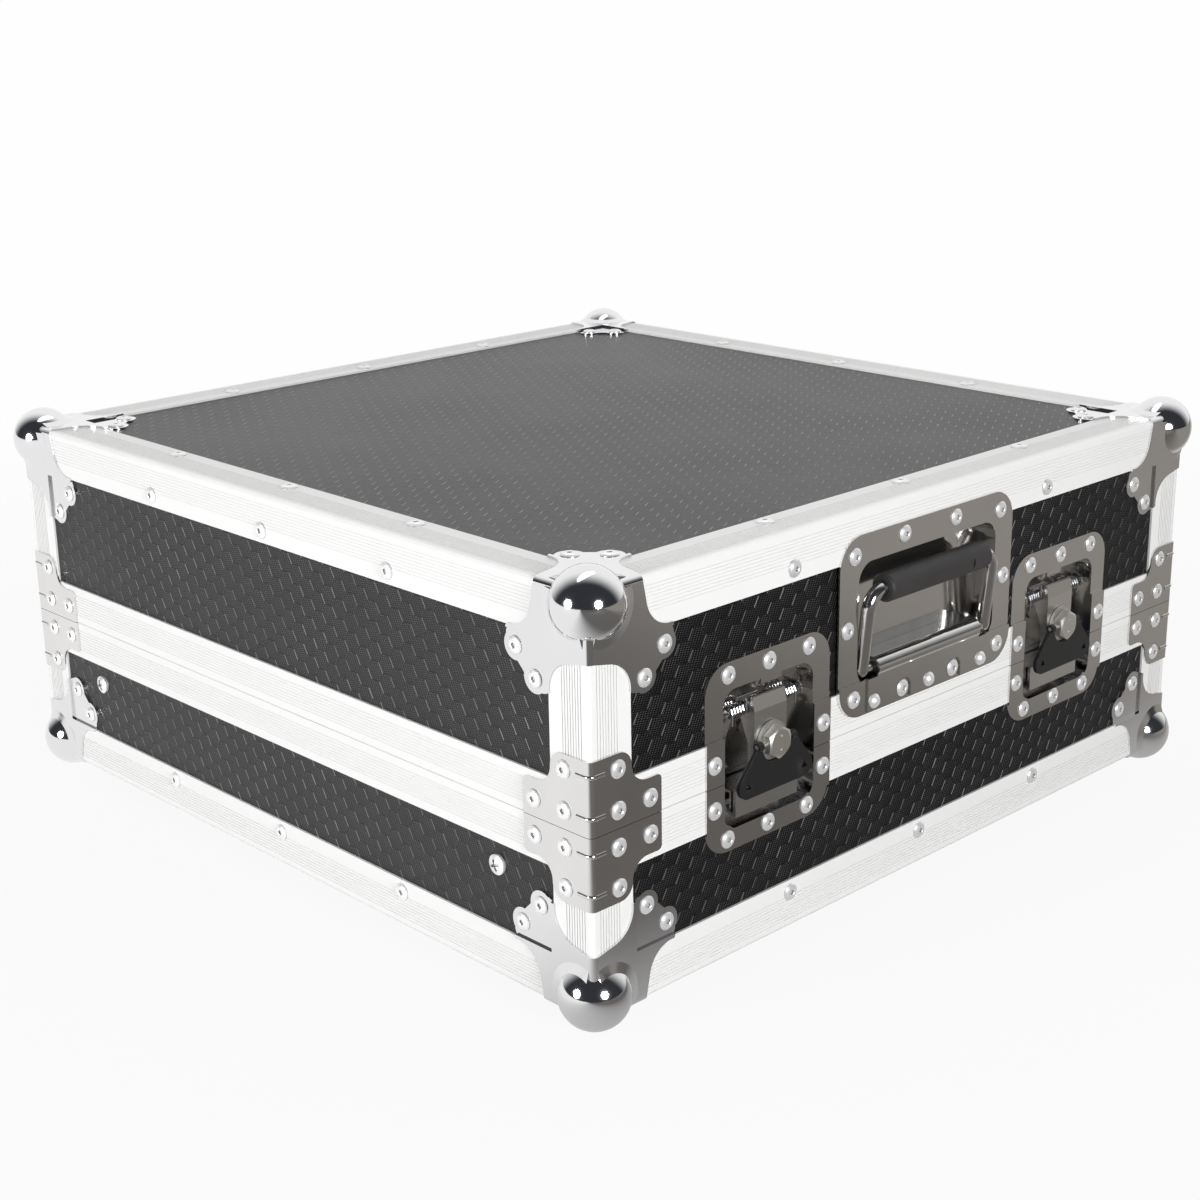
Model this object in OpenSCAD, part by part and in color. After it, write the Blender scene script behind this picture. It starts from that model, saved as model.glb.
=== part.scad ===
// Mixer rack case: a plywood flight case with a hinged lid, two recessed twist latches,
// a sprung recessed handle, ball corners and a pair of rack rails in the base.
// Millimetres. +Z is up, the latches face -Y, the origin is on the floor under the middle.

/* [Case] */
// Width over the edging, along the latch face
case_w = 558; // [480:1:700]
// Depth over the edging, from the latch face to the hinge face
case_d = 566; // [520:1:700]
// Height of the lid above the parting line
lid_h = 133.5; // [131:0.5:200]
// Height of the base below the parting line
base_h = 107.5; // [102:0.5:180]
// Thickness of the laminated plywood
panel_t = 9; // [7:0.5:10]
// Gap between lid and base at the parting line
part_gap = 0.3; // [0.2:0.1:0.8]

/* [Extrusions] */
// Width of each leg of the edging
leg_w = 30; // [26:0.5:32]
// Thickness of the edging
leg_t = 1.5; // [1.2:0.1:2]
// Radius of the edging's outer corner
edge_r = 2.5; // [1.6:0.1:3]
// Height of the rim extrusion's outer leg
rim_leg = 25.7; // [24:0.1:28]
// Height of the rim extrusion's inner leg
rim_inner = 15; // [12:0.5:18]
// Distance from the outer face to the tongue
tongue_set = 4; // [3.6:0.1:4.4]
// Thickness of the tongue
tongue_w = 4; // [3:0.1:4.4]
// Height of the tongue above the parting line
tongue_h = 4.6; // [3:0.1:5]
// Room between the tongue and its groove
groove_play = 1.1; // [1:0.05:1.3]
// Wall over the groove
rim_wall = 1.2; // [1:0.1:1.6]
// Number of fine flutes along each leg
flutes = 8; // [4:1:9]
// Distance between flutes
flute_pitch = 2; // [1.6:0.1:2.2]
// Width of a flute
flute_w = 0.6; // [0.4:0.1:1]
// Depth of a flute
flute_d = 0.35; // [0.2:0.05:0.6]
// Distance from the edge to the first flute
flute_start = 5.5; // [4:0.5:8]
// Open joint between two mitred extrusions
mitre_gap = 0.1; // [0.05:0.05:0.3]

/* [Rivets] */
// Head diameter
rivet_head_d = 10.5; // [9:0.1:11]
// Head height
rivet_head_h = 1.8; // [1.2:0.1:2.2]
// Shank diameter
rivet_d = 4.8; // [4:0.1:5]
// Diameter of the eye in the head
rivet_eye_d = 3; // [2:0.1:3.4]
// Depth of the eye
rivet_eye_deep = 1.2; // [0.6:0.1:1.5]
// Diameter of the formed tail
rivet_tail_d = 7; // [6:0.1:7.2]
// Height of the formed tail
rivet_tail_h = 1.4; // [1:0.1:2]
// Room round a shank
rivet_play = 0.2; // [0.1:0.05:0.3]
// Distance of the edging rivets from the case's edge
edging_rivet_in = 22.3; // [20:0.1:24]
// Distance between the edging rivets
edging_rivet_pitch = 121; // [110:1:124]

/* [Ball corners] */
// Radius of the ball
ball_r = 20.7; // [19:0.1:22]
// Depth of the ball's centre behind each face
ball_in = 10.3; // [10:0.1:11]
// Thickness of the pressed steel
plate_t = 1.2; // [1:0.1:1.5]
// Length of the fold along each edge
fold_len = 38.7; // [36:0.1:40]
// Distance of the neck along the edge
neck_a = 41.5; // [40:0.1:43]
// Distance of the neck from the edge
neck_b = 16; // [14:0.5:18]
// Radius of the hollow beside the lobe
hollow_r = 17.5; // [16.5:0.1:18.5]
// Distance of the hollow's centre along the edge
hollow_a = 58.5; // [58:0.1:59]
// Distance of the hollow's centre from the edge
hollow_b = 11.6; // [11:0.1:12.2]
// Radius of the lobe round each rivet
lobe_r = 8.5; // [8:0.1:9]
// Far distance of a rivet from the edges
lobe_far = 55.5; // [54:0.1:57]
// Near distance of a rivet from the edges
lobe_near = 40.5; // [39:0.1:42]
// Radius of the pressed flare round the ball
flare_r = 21.5; // [20:0.1:22]
// Height of the flare where it meets the ball
flare_h = 3.4; // [2:0.1:4]

/* [Corner braces] */
// Width of the brace on each face
brace_w = 51; // [50:0.5:54]
// Height of the brace's tall part
brace_h = 42.4; // [40:0.1:44]
// Height of the brace's side tab
brace_tab_h = 22; // [20:0.5:24]
// Width of the tall part
brace_neck = 29; // [27:0.5:30]
// Radius of the hollow between the tab and the tall part
brace_hollow = 11; // [8:0.5:12]
// Radius of the tall part's corner
brace_top_r = 9; // [6:0.5:10]
// Radius of the tab's corner
brace_tab_r = 3; // [2:0.5:4]
// Distance of the inner rivets from the edge
brace_rivet_in = 18.9; // [18.4:0.1:20]
// Distance of the outer rivet from the edge
brace_rivet_out = 42.5; // [41:0.1:44]
// Height of the low rivets
brace_rivet_low = 10.5; // [10:0.1:12]
// Height of the high rivet
brace_rivet_high = 33.8; // [32:0.1:35]
// Width of a pressed gusset across the fold
gusset_w = 3; // [2:0.1:4]
// Reach of a gusset on each face
gusset_reach = 7; // [5:0.1:9]
// Height of a gusset above the plate
gusset_h = 0.6; // [0.4:0.1:0.9]

/* [Latches] */
// Distance of each latch from the middle of the front
latch_x = 141; // [138:0.5:170]
// Width of the dish's flange
dish_w = 104; // [102:0.5:106]
// Top of the flange above the parting line
dish_top = 70; // [69:0.5:72]
// Bottom of the flange below the parting line
dish_bot = 42; // [41.5:0.1:43]
// Corner radius of the flange
dish_r = 18; // [14:0.5:20]
// Width of the recess
well_w = 75; // [74:0.1:76]
// Top of the recess above the parting line
well_top = 53.5; // [53.2:0.1:54]
// Bottom of the recess below the parting line
well_bot = 29.5; // [29.3:0.1:30]
// Corner radius of the recess
well_r = 10; // [8:0.5:12]
// Depth of the recess behind the front surface
well_deep = 12; // [11.6:0.1:13]
// Height of the latch's pivot above the parting line
pivot_z = 36.7; // [36.2:0.1:37.2]
// Depth of the latch's pivot behind the front surface
pivot_in = 7.3; // [7:0.05:7.4]
// Diameter of the pivot pin
pivot_d = 4; // [3.4:0.1:4.2]
// Width of the swinging arm
arm_w = 27; // [26:0.5:28]
// Thickness of the arm's plate
arm_t = 2; // [1.8:0.1:2.1]
// Thickness of the arm's side cheeks
cheek_t = 1.5; // [1.2:0.1:1.8]
// Height of the hex key's axis above the parting line
key_z = 16.3; // [16:0.1:16.8]
// Width of the hex head over its corners
hex_d = 20; // [18:0.1:20.4]
// Front of the hex head before the front surface
hex_out = 9.2; // [8.8:0.1:9.6]
// Diameter of the spindle through the arm
spindle_d = 11; // [10:0.1:11.4]
// Throw of the cam pin from the spindle's axis
cam_throw = 2.25; // [2:0.05:2.4]
// Diameter of the cam pin
cam_d = 4; // [3.6:0.1:4.2]
// Depth of the catch lip behind the front surface
catch_in = 4.6; // [4.5:0.05:4.9]
// Width of the hook and of the catch
hook_w = 52; // [44:0.5:54]
// Slope of the hook's bearing face in degrees
hook_slope = 28; // [24:1:30]
// Width of the wing over its two lobes
wing_w = 61; // [58:0.5:62]
// Reach of the wing below the key's axis
wing_reach = 28; // [26:0.1:28.6]
// Thickness of the wing
wing_t = 2.5; // [2.2:0.1:2.6]

/* [Handle] */
// Width of the handle's flange
grip_plate_w = 166; // [164:0.5:170]
// Bottom of the flange above the parting line
grip_plate_bot = 8.5; // [8:0.1:9]
// Distance of the flange's top below the lid's top
grip_plate_drop = 14.7; // [13.5:0.1:15.5]
// Corner radius of the flange
grip_plate_r = 19; // [16:0.5:20]
// Width of the handle's recess
bay_w = 132; // [131:0.5:134]
// Bottom of the handle's recess above the parting line
bay_bot = 26; // [25.6:0.1:26.4]
// Distance of the recess's top below the flange's top
bay_drop = 17.3; // [16.8:0.1:18]
// Corner radius of the handle's recess
bay_r = 12; // [10:0.5:14]
// Depth of the handle's recess behind the front surface
bay_deep = 13; // [12.4:0.1:14]
// Diameter of the bail's wire
bail_d = 8.5; // [8:0.1:8.7]
// Distance of the bail's legs from the recess's sides
bail_side = 6.5; // [6:0.1:7]
// Radius of the bail's bends
bail_bend = 12; // [10:0.5:13]
// Height of the bail's pivot above the parting line
bail_z = 35; // [34.8:0.1:35.4]
// Depth of the bail's pivot behind the front surface
bail_in = 1.2; // [1:0.1:1.6]
// Diameter of the grip
grip_d = 17.4; // [16:0.1:18.4]
// Distance of the grip's axis below the recess's top
grip_drop = 17.5; // [16:0.1:20]
// Distance of the grip's axis before the front surface
grip_out = 4.2; // [3:0.1:5]
// Depth of the bare panel in the grip
label_deep = 0.8; // [0.4:0.1:1]

/* [Hinges] */
// Distance of each hinge from the middle of the back
hinge_x = 150; // [110:1:160]
// Distance of the hinge's axis behind the back face
hinge_out = 5.2; // [5:0.1:5.4]
// Radius of the hinge's knuckles
knuckle_r = 4.4; // [4:0.1:4.6]
// Diameter of the hinge pin
hinge_pin_d = 4.5; // [4:0.1:5]
// Length of one knuckle
knuckle_len = 12; // [10:0.5:14]
// Height of each hinge leaf
leaf_h = 24; // [22:0.5:25.5]
// Thickness of each hinge leaf
leaf_t = 2; // [1.6:0.1:2.2]

/* [Rack] */
// Thickness of the batten between wall and rail
batten_t = 16.25; // [10:0.05:18]
// Height of one rack unit
rack_unit = 44.45; // [44.45:0.01:44.45]
// Distance of the rails' ends from the base's end walls
rail_end = 48; // [44:0.5:60]
// Diameter of a rack hole
rack_hole_d = 6.4; // [5:0.1:7]
// Depth of the rails' top below the parting line
rail_drop = 19.5; // [17:0.5:24]
// Width of the rail's top flange
rail_flange = 30; // [28:0.5:32]
// Height of the rail's side flange
rail_side = 32; // [30:0.5:36]
// Thickness of the rail
rail_t = 2; // [1.6:0.1:2.6]
// Distance of the rail screws from the rails' ends
rail_screw_in = 17.5; // [14:0.5:25]
// Diameter of the rail screws' heads
screw_head_d = 12; // [10:0.1:12.5]
// Diameter of the rail screws
screw_d = 6; // [5:0.1:6.4]

/* [Foam and feet] */
// Thickness of the foam in the lid
lid_foam_t = 25; // [15:1:35]
// Thickness of the foam in the base
base_foam_t = 15; // [10:1:25]
// Distance from the case's edge to the foam
foam_in = 46; // [44:0.5:60]
// Height of the case above the floor
foot_h = 13; // [12:0.5:20]
// Diameter of a foot where it touches the floor
foot_d = 34; // [30:0.5:40]
// Distance of each foot from the case's sides
foot_in = 72; // [69:0.5:90]

/* [Hidden] */

$fn = 48;
// One overrun serves every cut
over = 1;
half_gap = part_gap / 2;
half_w = case_w / 2;
half_d = case_d / 2;
// Height of the parting line above the floor
part_z = foot_h + base_h;
// Depth of the panels' inner face behind the outer surface
inner = leg_t + panel_t;
// Depth of the rim extrusion's inner face
rim_in = inner + leg_t;
// Inside top of the groove in the lid's rim
groove_top = tongue_h + groove_play;
// Where the lid's and the base's wall panels start, away from the parting line
lid_seat = groove_top + rim_wall;
base_seat = half_gap + leg_t;
chamfer = tongue_w / 5;
hole_r = rivet_d / 2 + rivet_play;
// Mean radius of the ball's shell where it passes through a face, and where the flare ends
ball_seat_r = sqrt(pow(ball_r - plate_t / 2, 2) - pow(ball_in + plate_t / 2, 2));
flare_top_r = sqrt(pow(ball_r - plate_t / 2, 2) - pow(ball_in + flare_h, 2));
// Distance from the edge at which a corner plate steps down onto the panel
joggle = leg_w + mitre_gap;
// Running room round a pin, and free room between two moving faces
pin_play = 0.1;
free = 0.3;

// Rivets of a ball corner and of a brace, from the case's edges
ball_spots = [[lobe_far, lobe_near], [lobe_near, lobe_far]];
brace_spots = [[brace_rivet_in, brace_rivet_low], [brace_rivet_in, brace_rivet_high],
    [brace_rivet_out, brace_rivet_low]];

// Latch: places behind the front surface are positive inward
arm_face = -arm_t / 2;
arm_back = arm_t / 2;
arm_rise = 7;
arm_top = pivot_z + arm_rise;
arm_low = -5;
arm_bend = pivot_z - arm_t / 2;
cheek_r = well_deep - pivot_in - free;
tongue_face = arm_back + free;
tongue_t = 2;
tongue_back = tongue_face + tongue_t;
tongue_half = arm_w / 2 - cheek_t - free;
tongue_strap = 4.6;
hook_top = -8;
hook_low = -24.5;
hook_floor = -22.4;
hook_end = 9.5;
tan_hook = tan(hook_slope);
catch_t = 1.5;
catch_top = -9;
lip_gap = 0.4;
key_slot_w = 2 * cam_throw + cam_d + 2 * free;
key_slot_h = cam_d + 0.44 * cam_throw + 2 * free;
tongue_top = key_z + cam_throw + key_slot_h / 2 + tongue_strap;
wing_mid = 4.75;
wing_back = wing_mid - wing_t / 2;
wing_bore = 11.9;
wing_ear = 15.5;
wing_pin_d = 2.6;
barrel_d = 5.5;
lobe_wing_r = 7;
collar_r = 11.4;
collar_t = 1.9;
collar_back = arm_t / 2 + free;
hex_back = wing_back;
key_disc_d = 8;
key_disc_t = 1.2;
ear_in = 6.25;
ear_x = well_w / 2 - ear_in;
pin_cap_d = 6.5;
pin_cap_t = 1;
latch_rivet_pitch = 33.5;
latch_rivet_end = 7.4;
latch_rivet_side = 6.5;
latch_rivet_mid = 13.3;
latch_rivets_top = [for (i = [-1 : 1]) [i * latch_rivet_pitch, dish_top - latch_rivet_end]];
latch_rivets_bot = [for (i = [-1 : 1]) [i * latch_rivet_pitch, latch_rivet_end - dish_bot]];
latch_rivets_mid = [for (s = [-1, 1]) [s * (dish_w / 2 - latch_rivet_side), latch_rivet_mid]];
latch_rivets_low = [for (s = [-1, 1]) [s * (dish_w / 2 - latch_rivet_side), -latch_rivet_mid]];
latch_rivets = concat(latch_rivets_top, latch_rivets_mid, latch_rivets_low, latch_rivets_bot);

// Torsion springs: wire, mean radius of a turn, pitch, turns and rings in each turn
spring_wire = 1.4;
spring_r = 3.6;
spring_pitch = 2.3;
spring_turns = 5;
spring_rings = 8;
spring_sides = 6;
spring_leg = 7;
grip_spring_wire = 1.1;
grip_spring_r = 4;
grip_spring_pitch = 1.7;
grip_spring_turns = 5;

// Handle
grip_plate_top = lid_h - grip_plate_drop;
bay_top = grip_plate_top - bay_drop;
grip_z = bay_top - grip_drop;
bail_x = bay_w / 2 - bail_side;
grip_over = 0.5;
grip_len = 2 * (bail_x - bail_bend + grip_over);
swing_gap = 0.75;
cover_margin = 1;
cover_inset = 1.5;
cover_top = bail_z - bail_d / 2 - swing_gap;
cover_low = grip_plate_bot + cover_margin;
cover_half = bail_x - cover_inset;
barrel_gap = 5.75;
barrel_half = bail_x - bail_d / 2 - barrel_gap;
barrel_r = 5;
bearing_t = 2;
bearing_x = barrel_half - 2 * bearing_t;
stub_d = 6;
notch_r = 7;
bail_tilt = atan((bail_in + grip_out) / (grip_z - bail_z));
bail_len = norm([bail_in + grip_out, grip_z - bail_z]);
label_end = 18;
label_w = grip_len - 2 * label_end;
label_h = 8;
grip_rivet_in = 7.5;
grip_rivet_pitch = 24.6;
grip_corner_x = 13;
grip_corner_z = 11.9;
grip_rivets = [for (s = [-1, 1]) each [
    [s * (grip_plate_w / 2 - grip_corner_x), grip_plate_top - grip_corner_z],
    [s * grip_rivet_pitch, grip_plate_top - grip_rivet_in],
    [s * (grip_plate_w / 2 - grip_rivet_in), (grip_plate_top + grip_plate_bot) / 2],
    [s * (grip_plate_w / 2 - grip_corner_x), grip_plate_bot + grip_corner_z],
    [s * grip_rivet_pitch, grip_plate_bot + grip_rivet_in]]];
stud_edge = 6;
stud_pitch = cover_half - stud_edge;
stud_in = 6.8;
cover_studs = [for (i = [-1 : 1]) [i * stud_pitch, grip_plate_bot + stud_in]];
stud_d = 9;
stud_h = 3;

// Hinges
hinge_knuckles = 5;
knuckle_gap = 0.4;
leaf_w = hinge_knuckles * knuckle_len;
leaf_clear = 5.2;
leaf_rivet_pitch = 22;
leaf_rivet_v = 13.8;
leaf_rivets = [for (i = [-1 : 1]) [i * leaf_rivet_pitch, leaf_rivet_v]];

// Rack rails
rail_top = -rail_drop;
rail_len = 2 * (half_d - inner - rail_end);
rack_units = floor((rail_len - 2 * rail_t) / rack_unit);
rail_screw_y = rail_len / 2 - rail_screw_in;
rail_lip = 10.3;
rail_outer_x = half_w - inner - batten_t;
rack_span = 2 * (rail_outer_x - rail_flange + rail_lip);
batten_h = 38;
batten_over = 10;
batten_len = rail_len + 2 * batten_over;
rail_screw_v = -39.5;
rack_hole_shares = [1 / 7, 1 / 2, 6 / 7];
screw_head_h = 3.5;
drive_w = 1.6;
drive_len = 7;
drive_deep = 1.8;
nut_af = 10;
nut_t = 5;

foot_top_d = 40;
foot_bore_d = 14;
foot_bore_deep = 7;
foot_screw_d = 5;
foot_screw_head = 10;
foot_screw_head_h = 2.5;
foot_screw_len = 7;

alu = "gainsboro";
chrome = "silver";
black = "#26262a";
ply = "#a98a5c";
rubber = "#2c2c2e";

function half_of(k) = k % 2 == 0 ? half_d : half_w;
function run_of(k) = k % 2 == 0 ? half_w : half_d;
function side_of(left) = left ? -1 : 1;
// Where a rivet's tail seats: on the rim's inner leg, or on the panel above it
function tail_seat(v) = abs(v) - rivet_tail_d / 2 < rim_inner ? rim_in : inner;

// Rivet sites on one side face, as distances along the face and from the parting line
function edging_sites(h, skip_middle) = [for (i = [-1 : 1]) if (i != 0 || !skip_middle)
    [i * edging_rivet_pitch, h - edging_rivet_in]];
function ball_sites(run, h) = [for (s = [-1, 1]) for (p = ball_spots)
    [s * (run - p[0]), h - p[1]]];
function brace_sites(run) = [for (s = [-1, 1]) for (p = brace_spots)
    [s * (run - p[0]), p[1]]];
// Rivet sites on the top or the bottom face, from its middle
function flat_edging_sites() = [for (k = [0 : 3]) for (i = [-1 : 1]) let(
    d = half_of(k) - edging_rivet_in, s = k < 2 ? -1 : 1)
    k % 2 == 0 ? [i * edging_rivet_pitch, s * d] : [s * d, i * edging_rivet_pitch]];
function flat_ball_sites() = [for (s = [-1, 1]) for (t = [-1, 1]) for (p = ball_spots)
    [s * (half_w - p[0]), t * (half_d - p[1])]];

// Frames: on a side face X runs along it, Y is up from the parting line and Z points outward
module on_face(k) {
    rotate([0, 0, 90 * k]) translate([0, -half_of(k), part_z]) rotate([90, 0, 0]) children();
}

module on_latch(left) {
    on_face(0) translate([side_of(left) * latch_x, 0, 0]) children();
}

module at_corners() {
    for (sx = [0, 1]) for (sy = [0, 1])
        mirror([sx, 0, 0]) mirror([0, sy, 0]) translate([-half_w, -half_d, 0]) children();
}

module at_sites(sites) {
    for (p = sites) translate([p[0], p[1], 0]) children();
}

module flip_v(down) {
    mirror([0, down ? 1 : 0, 0]) children();
}

// An outline drawn as depth inward and height, run along the face for a width
module side_run(width) {
    rotate([0, 90, 0]) linear_extrude(width, center = true) children();
}

module slab(low, high) {
    translate([0, 0, low]) linear_extrude(high - low) children();
}

module round_rect(w, low, high, r) {
    translate([-w / 2 + r, low]) square([w - 2 * r, high - low]);
    translate([-w / 2, low + r]) square([w, high - low - 2 * r]);
    for (s = [-1, 1]) for (v = [low + r, high - r]) translate([s * (w / 2 - r), v]) circle(r);
}

module band(low, high) {
    translate([-case_w, low]) square([2 * case_w, high - low]);
}

// Rivets
module rivet(seat) {
    r = rivet_head_d / 2;
    eye = rivet_eye_d / 2;
    rotate_extrude() polygon([[0, -seat - rivet_tail_h],
        [rivet_tail_d / 2 - rivet_tail_h / 2, -seat - rivet_tail_h],
        [rivet_tail_d / 2, -seat - rivet_tail_h / 2], [rivet_tail_d / 2, -seat],
        [rivet_d / 2, -seat], [rivet_d / 2, 0], [r, 0], [r, rivet_head_h * 0.25],
        [r * 0.88, rivet_head_h * 0.62], [r * 0.68, rivet_head_h * 0.88],
        [r * 0.5, rivet_head_h], [eye + r * 0.08, rivet_head_h],
        [eye, rivet_head_h * 0.85], [eye, rivet_head_h - rivet_eye_deep],
        [0, rivet_head_h - rivet_eye_deep]]);
}

module rivet_hole() {
    translate([0, 0, -rim_in - over]) cylinder(rim_in + 2 * over + plate_t, r = hole_r);
}

module side_holes(k, h) {
    run = run_of(k);
    at_sites(edging_sites(h, k == 0 && h == lid_h)) rivet_hole();
    at_sites(ball_sites(run, h)) rivet_hole();
    at_sites(brace_sites(run)) rivet_hole();
}

module side_rivets(k, h) {
    run = run_of(k);
    at_sites(edging_sites(h, k == 0 && h == lid_h)) rivet(inner);
    translate([0, 0, plate_t - leg_t]) at_sites(ball_sites(run, h)) rivet(panel_t + plate_t);
    translate([0, 0, plate_t]) for (p = brace_sites(run))
        at_sites([p]) rivet(tail_seat(p[1]) + plate_t);
}

module flat_holes() {
    at_sites(flat_edging_sites()) rivet_hole();
    at_sites(flat_ball_sites()) rivet_hole();
}

module flat_rivets() {
    at_sites(flat_edging_sites()) rivet(inner);
    translate([0, 0, plate_t - leg_t]) at_sites(flat_ball_sites()) rivet(panel_t + plate_t);
}

module all_side_holes(h, down) {
    for (k = [0 : 3]) on_face(k) flip_v(down) side_holes(k, h);
}

module latch_holes(left) {
    on_latch(left) at_sites(latch_rivets) rivet_hole();
}

module handle_holes() {
    on_face(0) at_sites(concat(grip_rivets, cover_studs)) rivet_hole();
}

module leaf_holes(down) {
    for (s = [-1, 1]) on_face(2) translate([s * hinge_x, 0, 0]) flip_v(down)
        at_sites(leaf_rivets) rivet_hole();
}

// Cut-outs in the front walls for the three dishes
module front_cutouts() {
    for (s = [-1, 1]) on_face(0) translate([s * latch_x, 0, 0])
        slab(-rim_in - over, over) well_outline(plate_t + 2 * free);
    on_face(0) slab(-rim_in - over, over) bay_outline(plate_t + 2 * free);
}

// Extrusions
module flute_row(start) {
    for (i = [0 : flutes - 1]) translate([start + i * flute_pitch, -over])
        square([flute_w, flute_d + over]);
}

module angle_profile() {
    difference() {
        union() {
            square([leg_w, leg_t]);
            square([leg_t, leg_w]);
        }
        difference() {
            square(edge_r);
            translate([edge_r, edge_r]) circle(edge_r);
        }
        flute_row(flute_start);
        mirror([1, -1]) flute_row(flute_start);
    }
}

// A mitred length of edging: its outer edge lies on X, with legs inward and down
module edging_bar(run) {
    half = run - mitre_gap;
    trapezoid = [[-half, 0], [half, 0], [half - leg_w, leg_w], [leg_w - half, leg_w]];
    intersection() {
        translate([-run, 0, 0]) rotate([0, 90, 0]) linear_extrude(2 * run) angle_profile();
        translate([0, 0, -leg_w]) linear_extrude(leg_w) polygon(trapezoid);
        rotate([90, 0, 0]) mirror([0, 1, 0]) translate([0, 0, -leg_w])
            linear_extrude(leg_w) polygon(trapezoid);
    }
}

module edging_ring() {
    for (k = [0 : 3]) rotate([0, 0, 90 * k]) translate([0, -half_of(k), 0]) edging_bar(run_of(k));
}

// An upright length of edging, mitred at its top end
module edging_post(length) {
    cut = [[-over, over - mitre_gap], [leg_w, -leg_w - mitre_gap], [leg_w, -length - over],
        [-over, -length - over]];
    intersection() {
        translate([0, 0, -length]) linear_extrude(length) angle_profile();
        translate([0, leg_w + over, 0]) rotate([90, 0, 0])
            linear_extrude(leg_w + 2 * over) polygon(cut);
        mirror([1, -1, 0]) translate([0, leg_w + over, 0]) rotate([90, 0, 0])
            linear_extrude(leg_w + 2 * over) polygon(cut);
    }
}

// Rim profiles: X is the depth inward, Y is the distance from the parting line
module rim_legs() {
    translate([0, half_gap]) square([leg_t, rim_leg - half_gap]);
    translate([inner, half_gap]) square([leg_t, rim_inner - half_gap]);
}

module lid_rim_profile() {
    difference() {
        union() {
            rim_legs();
            translate([0, half_gap]) square([rim_in, lid_seat - half_gap]);
        }
        translate([tongue_set - groove_play, -over])
            square([tongue_w + 2 * groove_play, groove_top + over]);
        mirror([1, -1]) flute_row(flute_start);
    }
}

module base_rim_profile() {
    difference() {
        union() {
            rim_legs();
            translate([0, half_gap]) square([rim_in, leg_t]);
            translate([tongue_set, 0]) polygon([[0, leg_t], [0, -tongue_h + chamfer],
                [chamfer, -tongue_h], [tongue_w - chamfer, -tongue_h],
                [tongue_w, -tongue_h + chamfer], [tongue_w, leg_t]]);
        }
        mirror([1, -1]) flute_row(flute_start);
    }
}

module rim_ring() {
    reach = lid_seat + rim_leg + over;
    difference() {
        for (k = [0 : 3]) rotate([0, 0, 90 * k]) translate([0, -half_of(k), 0]) intersection() {
            translate([-run_of(k), 0, 0]) rotate([90, 0, 90])
                linear_extrude(2 * run_of(k)) children();
            translate([0, 0, -lid_seat]) linear_extrude(reach)
                polygon([[mitre_gap - run_of(k), 0], [run_of(k) - mitre_gap, 0],
                    [run_of(k) - mitre_gap - leg_w, leg_w], [leg_w + mitre_gap - run_of(k), leg_w]]);
        }
        at_corners() translate([0, 0, -lid_seat]) linear_extrude(reach) difference() {
            translate([-over, -over]) square(edge_r + over);
            translate([edge_r, edge_r]) circle(edge_r);
        }
    }
}

// Panels
module flat_panel() {
    linear_extrude(panel_t) square([case_w - 2 * leg_t, case_d - 2 * leg_t], center = true);
}

module wall_panel(k, low, high) {
    reach = k % 2 == 0 ? run_of(k) - leg_t : run_of(k) - inner;
    on_face(k) slab(-inner, -leg_t) translate([-reach, low]) square([2 * reach, high - low]);
}

module lid_wall(k) {
    color(black) difference() {
        wall_panel(k, lid_seat, lid_h - inner);
        on_face(k) side_holes(k, lid_h);
        if (k == 0) front_openings();
        if (k == 2) leaf_holes(false);
    }
}

module base_wall(k) {
    color(black) difference() {
        wall_panel(k, inner - base_h, -base_seat);
        on_face(k) flip_v(true) side_holes(k, base_h);
        if (k == 0) front_openings();
        if (k == 2) leaf_holes(true);
        if (k % 2 == 1) on_face(k) rail_screw_sites() screw_hole();
    }
}

module front_openings() {
    front_cutouts();
    latch_holes(true);
    latch_holes(false);
    handle_holes();
}

module lid_top_panel() {
    color(black) translate([0, 0, part_z + lid_h]) difference() {
        translate([0, 0, -inner]) flat_panel();
        flat_holes();
    }
}

module lid_front_panel() { lid_wall(0); }
module lid_right_panel() { lid_wall(1); }
module lid_back_panel() { lid_wall(2); }
module lid_left_panel() { lid_wall(3); }

module base_bottom_panel() {
    color(black) difference() {
        translate([0, 0, foot_h + leg_t]) flat_panel();
        translate([0, 0, foot_h]) mirror([0, 0, 1]) flat_holes();
        foot_sites() translate([0, 0, foot_h])
            cylinder(inner + over, r = foot_screw_d / 2 + pin_play);
    }
}

module base_front_panel() { base_wall(0); }
module base_right_panel() { base_wall(1); }
module base_back_panel() { base_wall(2); }
module base_left_panel() { base_wall(3); }

// Edging
module lid_top_edging() {
    color(alu) difference() {
        translate([0, 0, part_z + lid_h]) edging_ring();
        translate([0, 0, part_z + lid_h]) flat_holes();
        all_side_holes(lid_h, false);
        handle_holes();
    }
}

module base_bottom_edging() {
    color(alu) difference() {
        translate([0, 0, foot_h]) mirror([0, 0, 1]) edging_ring();
        translate([0, 0, foot_h]) mirror([0, 0, 1]) flat_holes();
        all_side_holes(base_h, true);
    }
}

module lid_corner_edging() {
    color(alu) difference() {
        translate([0, 0, part_z + lid_h]) at_corners() edging_post(lid_h - rim_leg - mitre_gap);
        all_side_holes(lid_h, false);
    }
}

module base_corner_edging() {
    color(alu) difference() {
        translate([0, 0, foot_h]) mirror([0, 0, 1]) at_corners()
            edging_post(base_h - rim_leg - mitre_gap);
        all_side_holes(base_h, true);
    }
}

module lid_rim_extrusion() {
    color(alu) difference() {
        translate([0, 0, part_z]) rim_ring() lid_rim_profile();
        all_side_holes(lid_h, false);
        front_openings();
        leaf_holes(false);
    }
}

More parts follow.
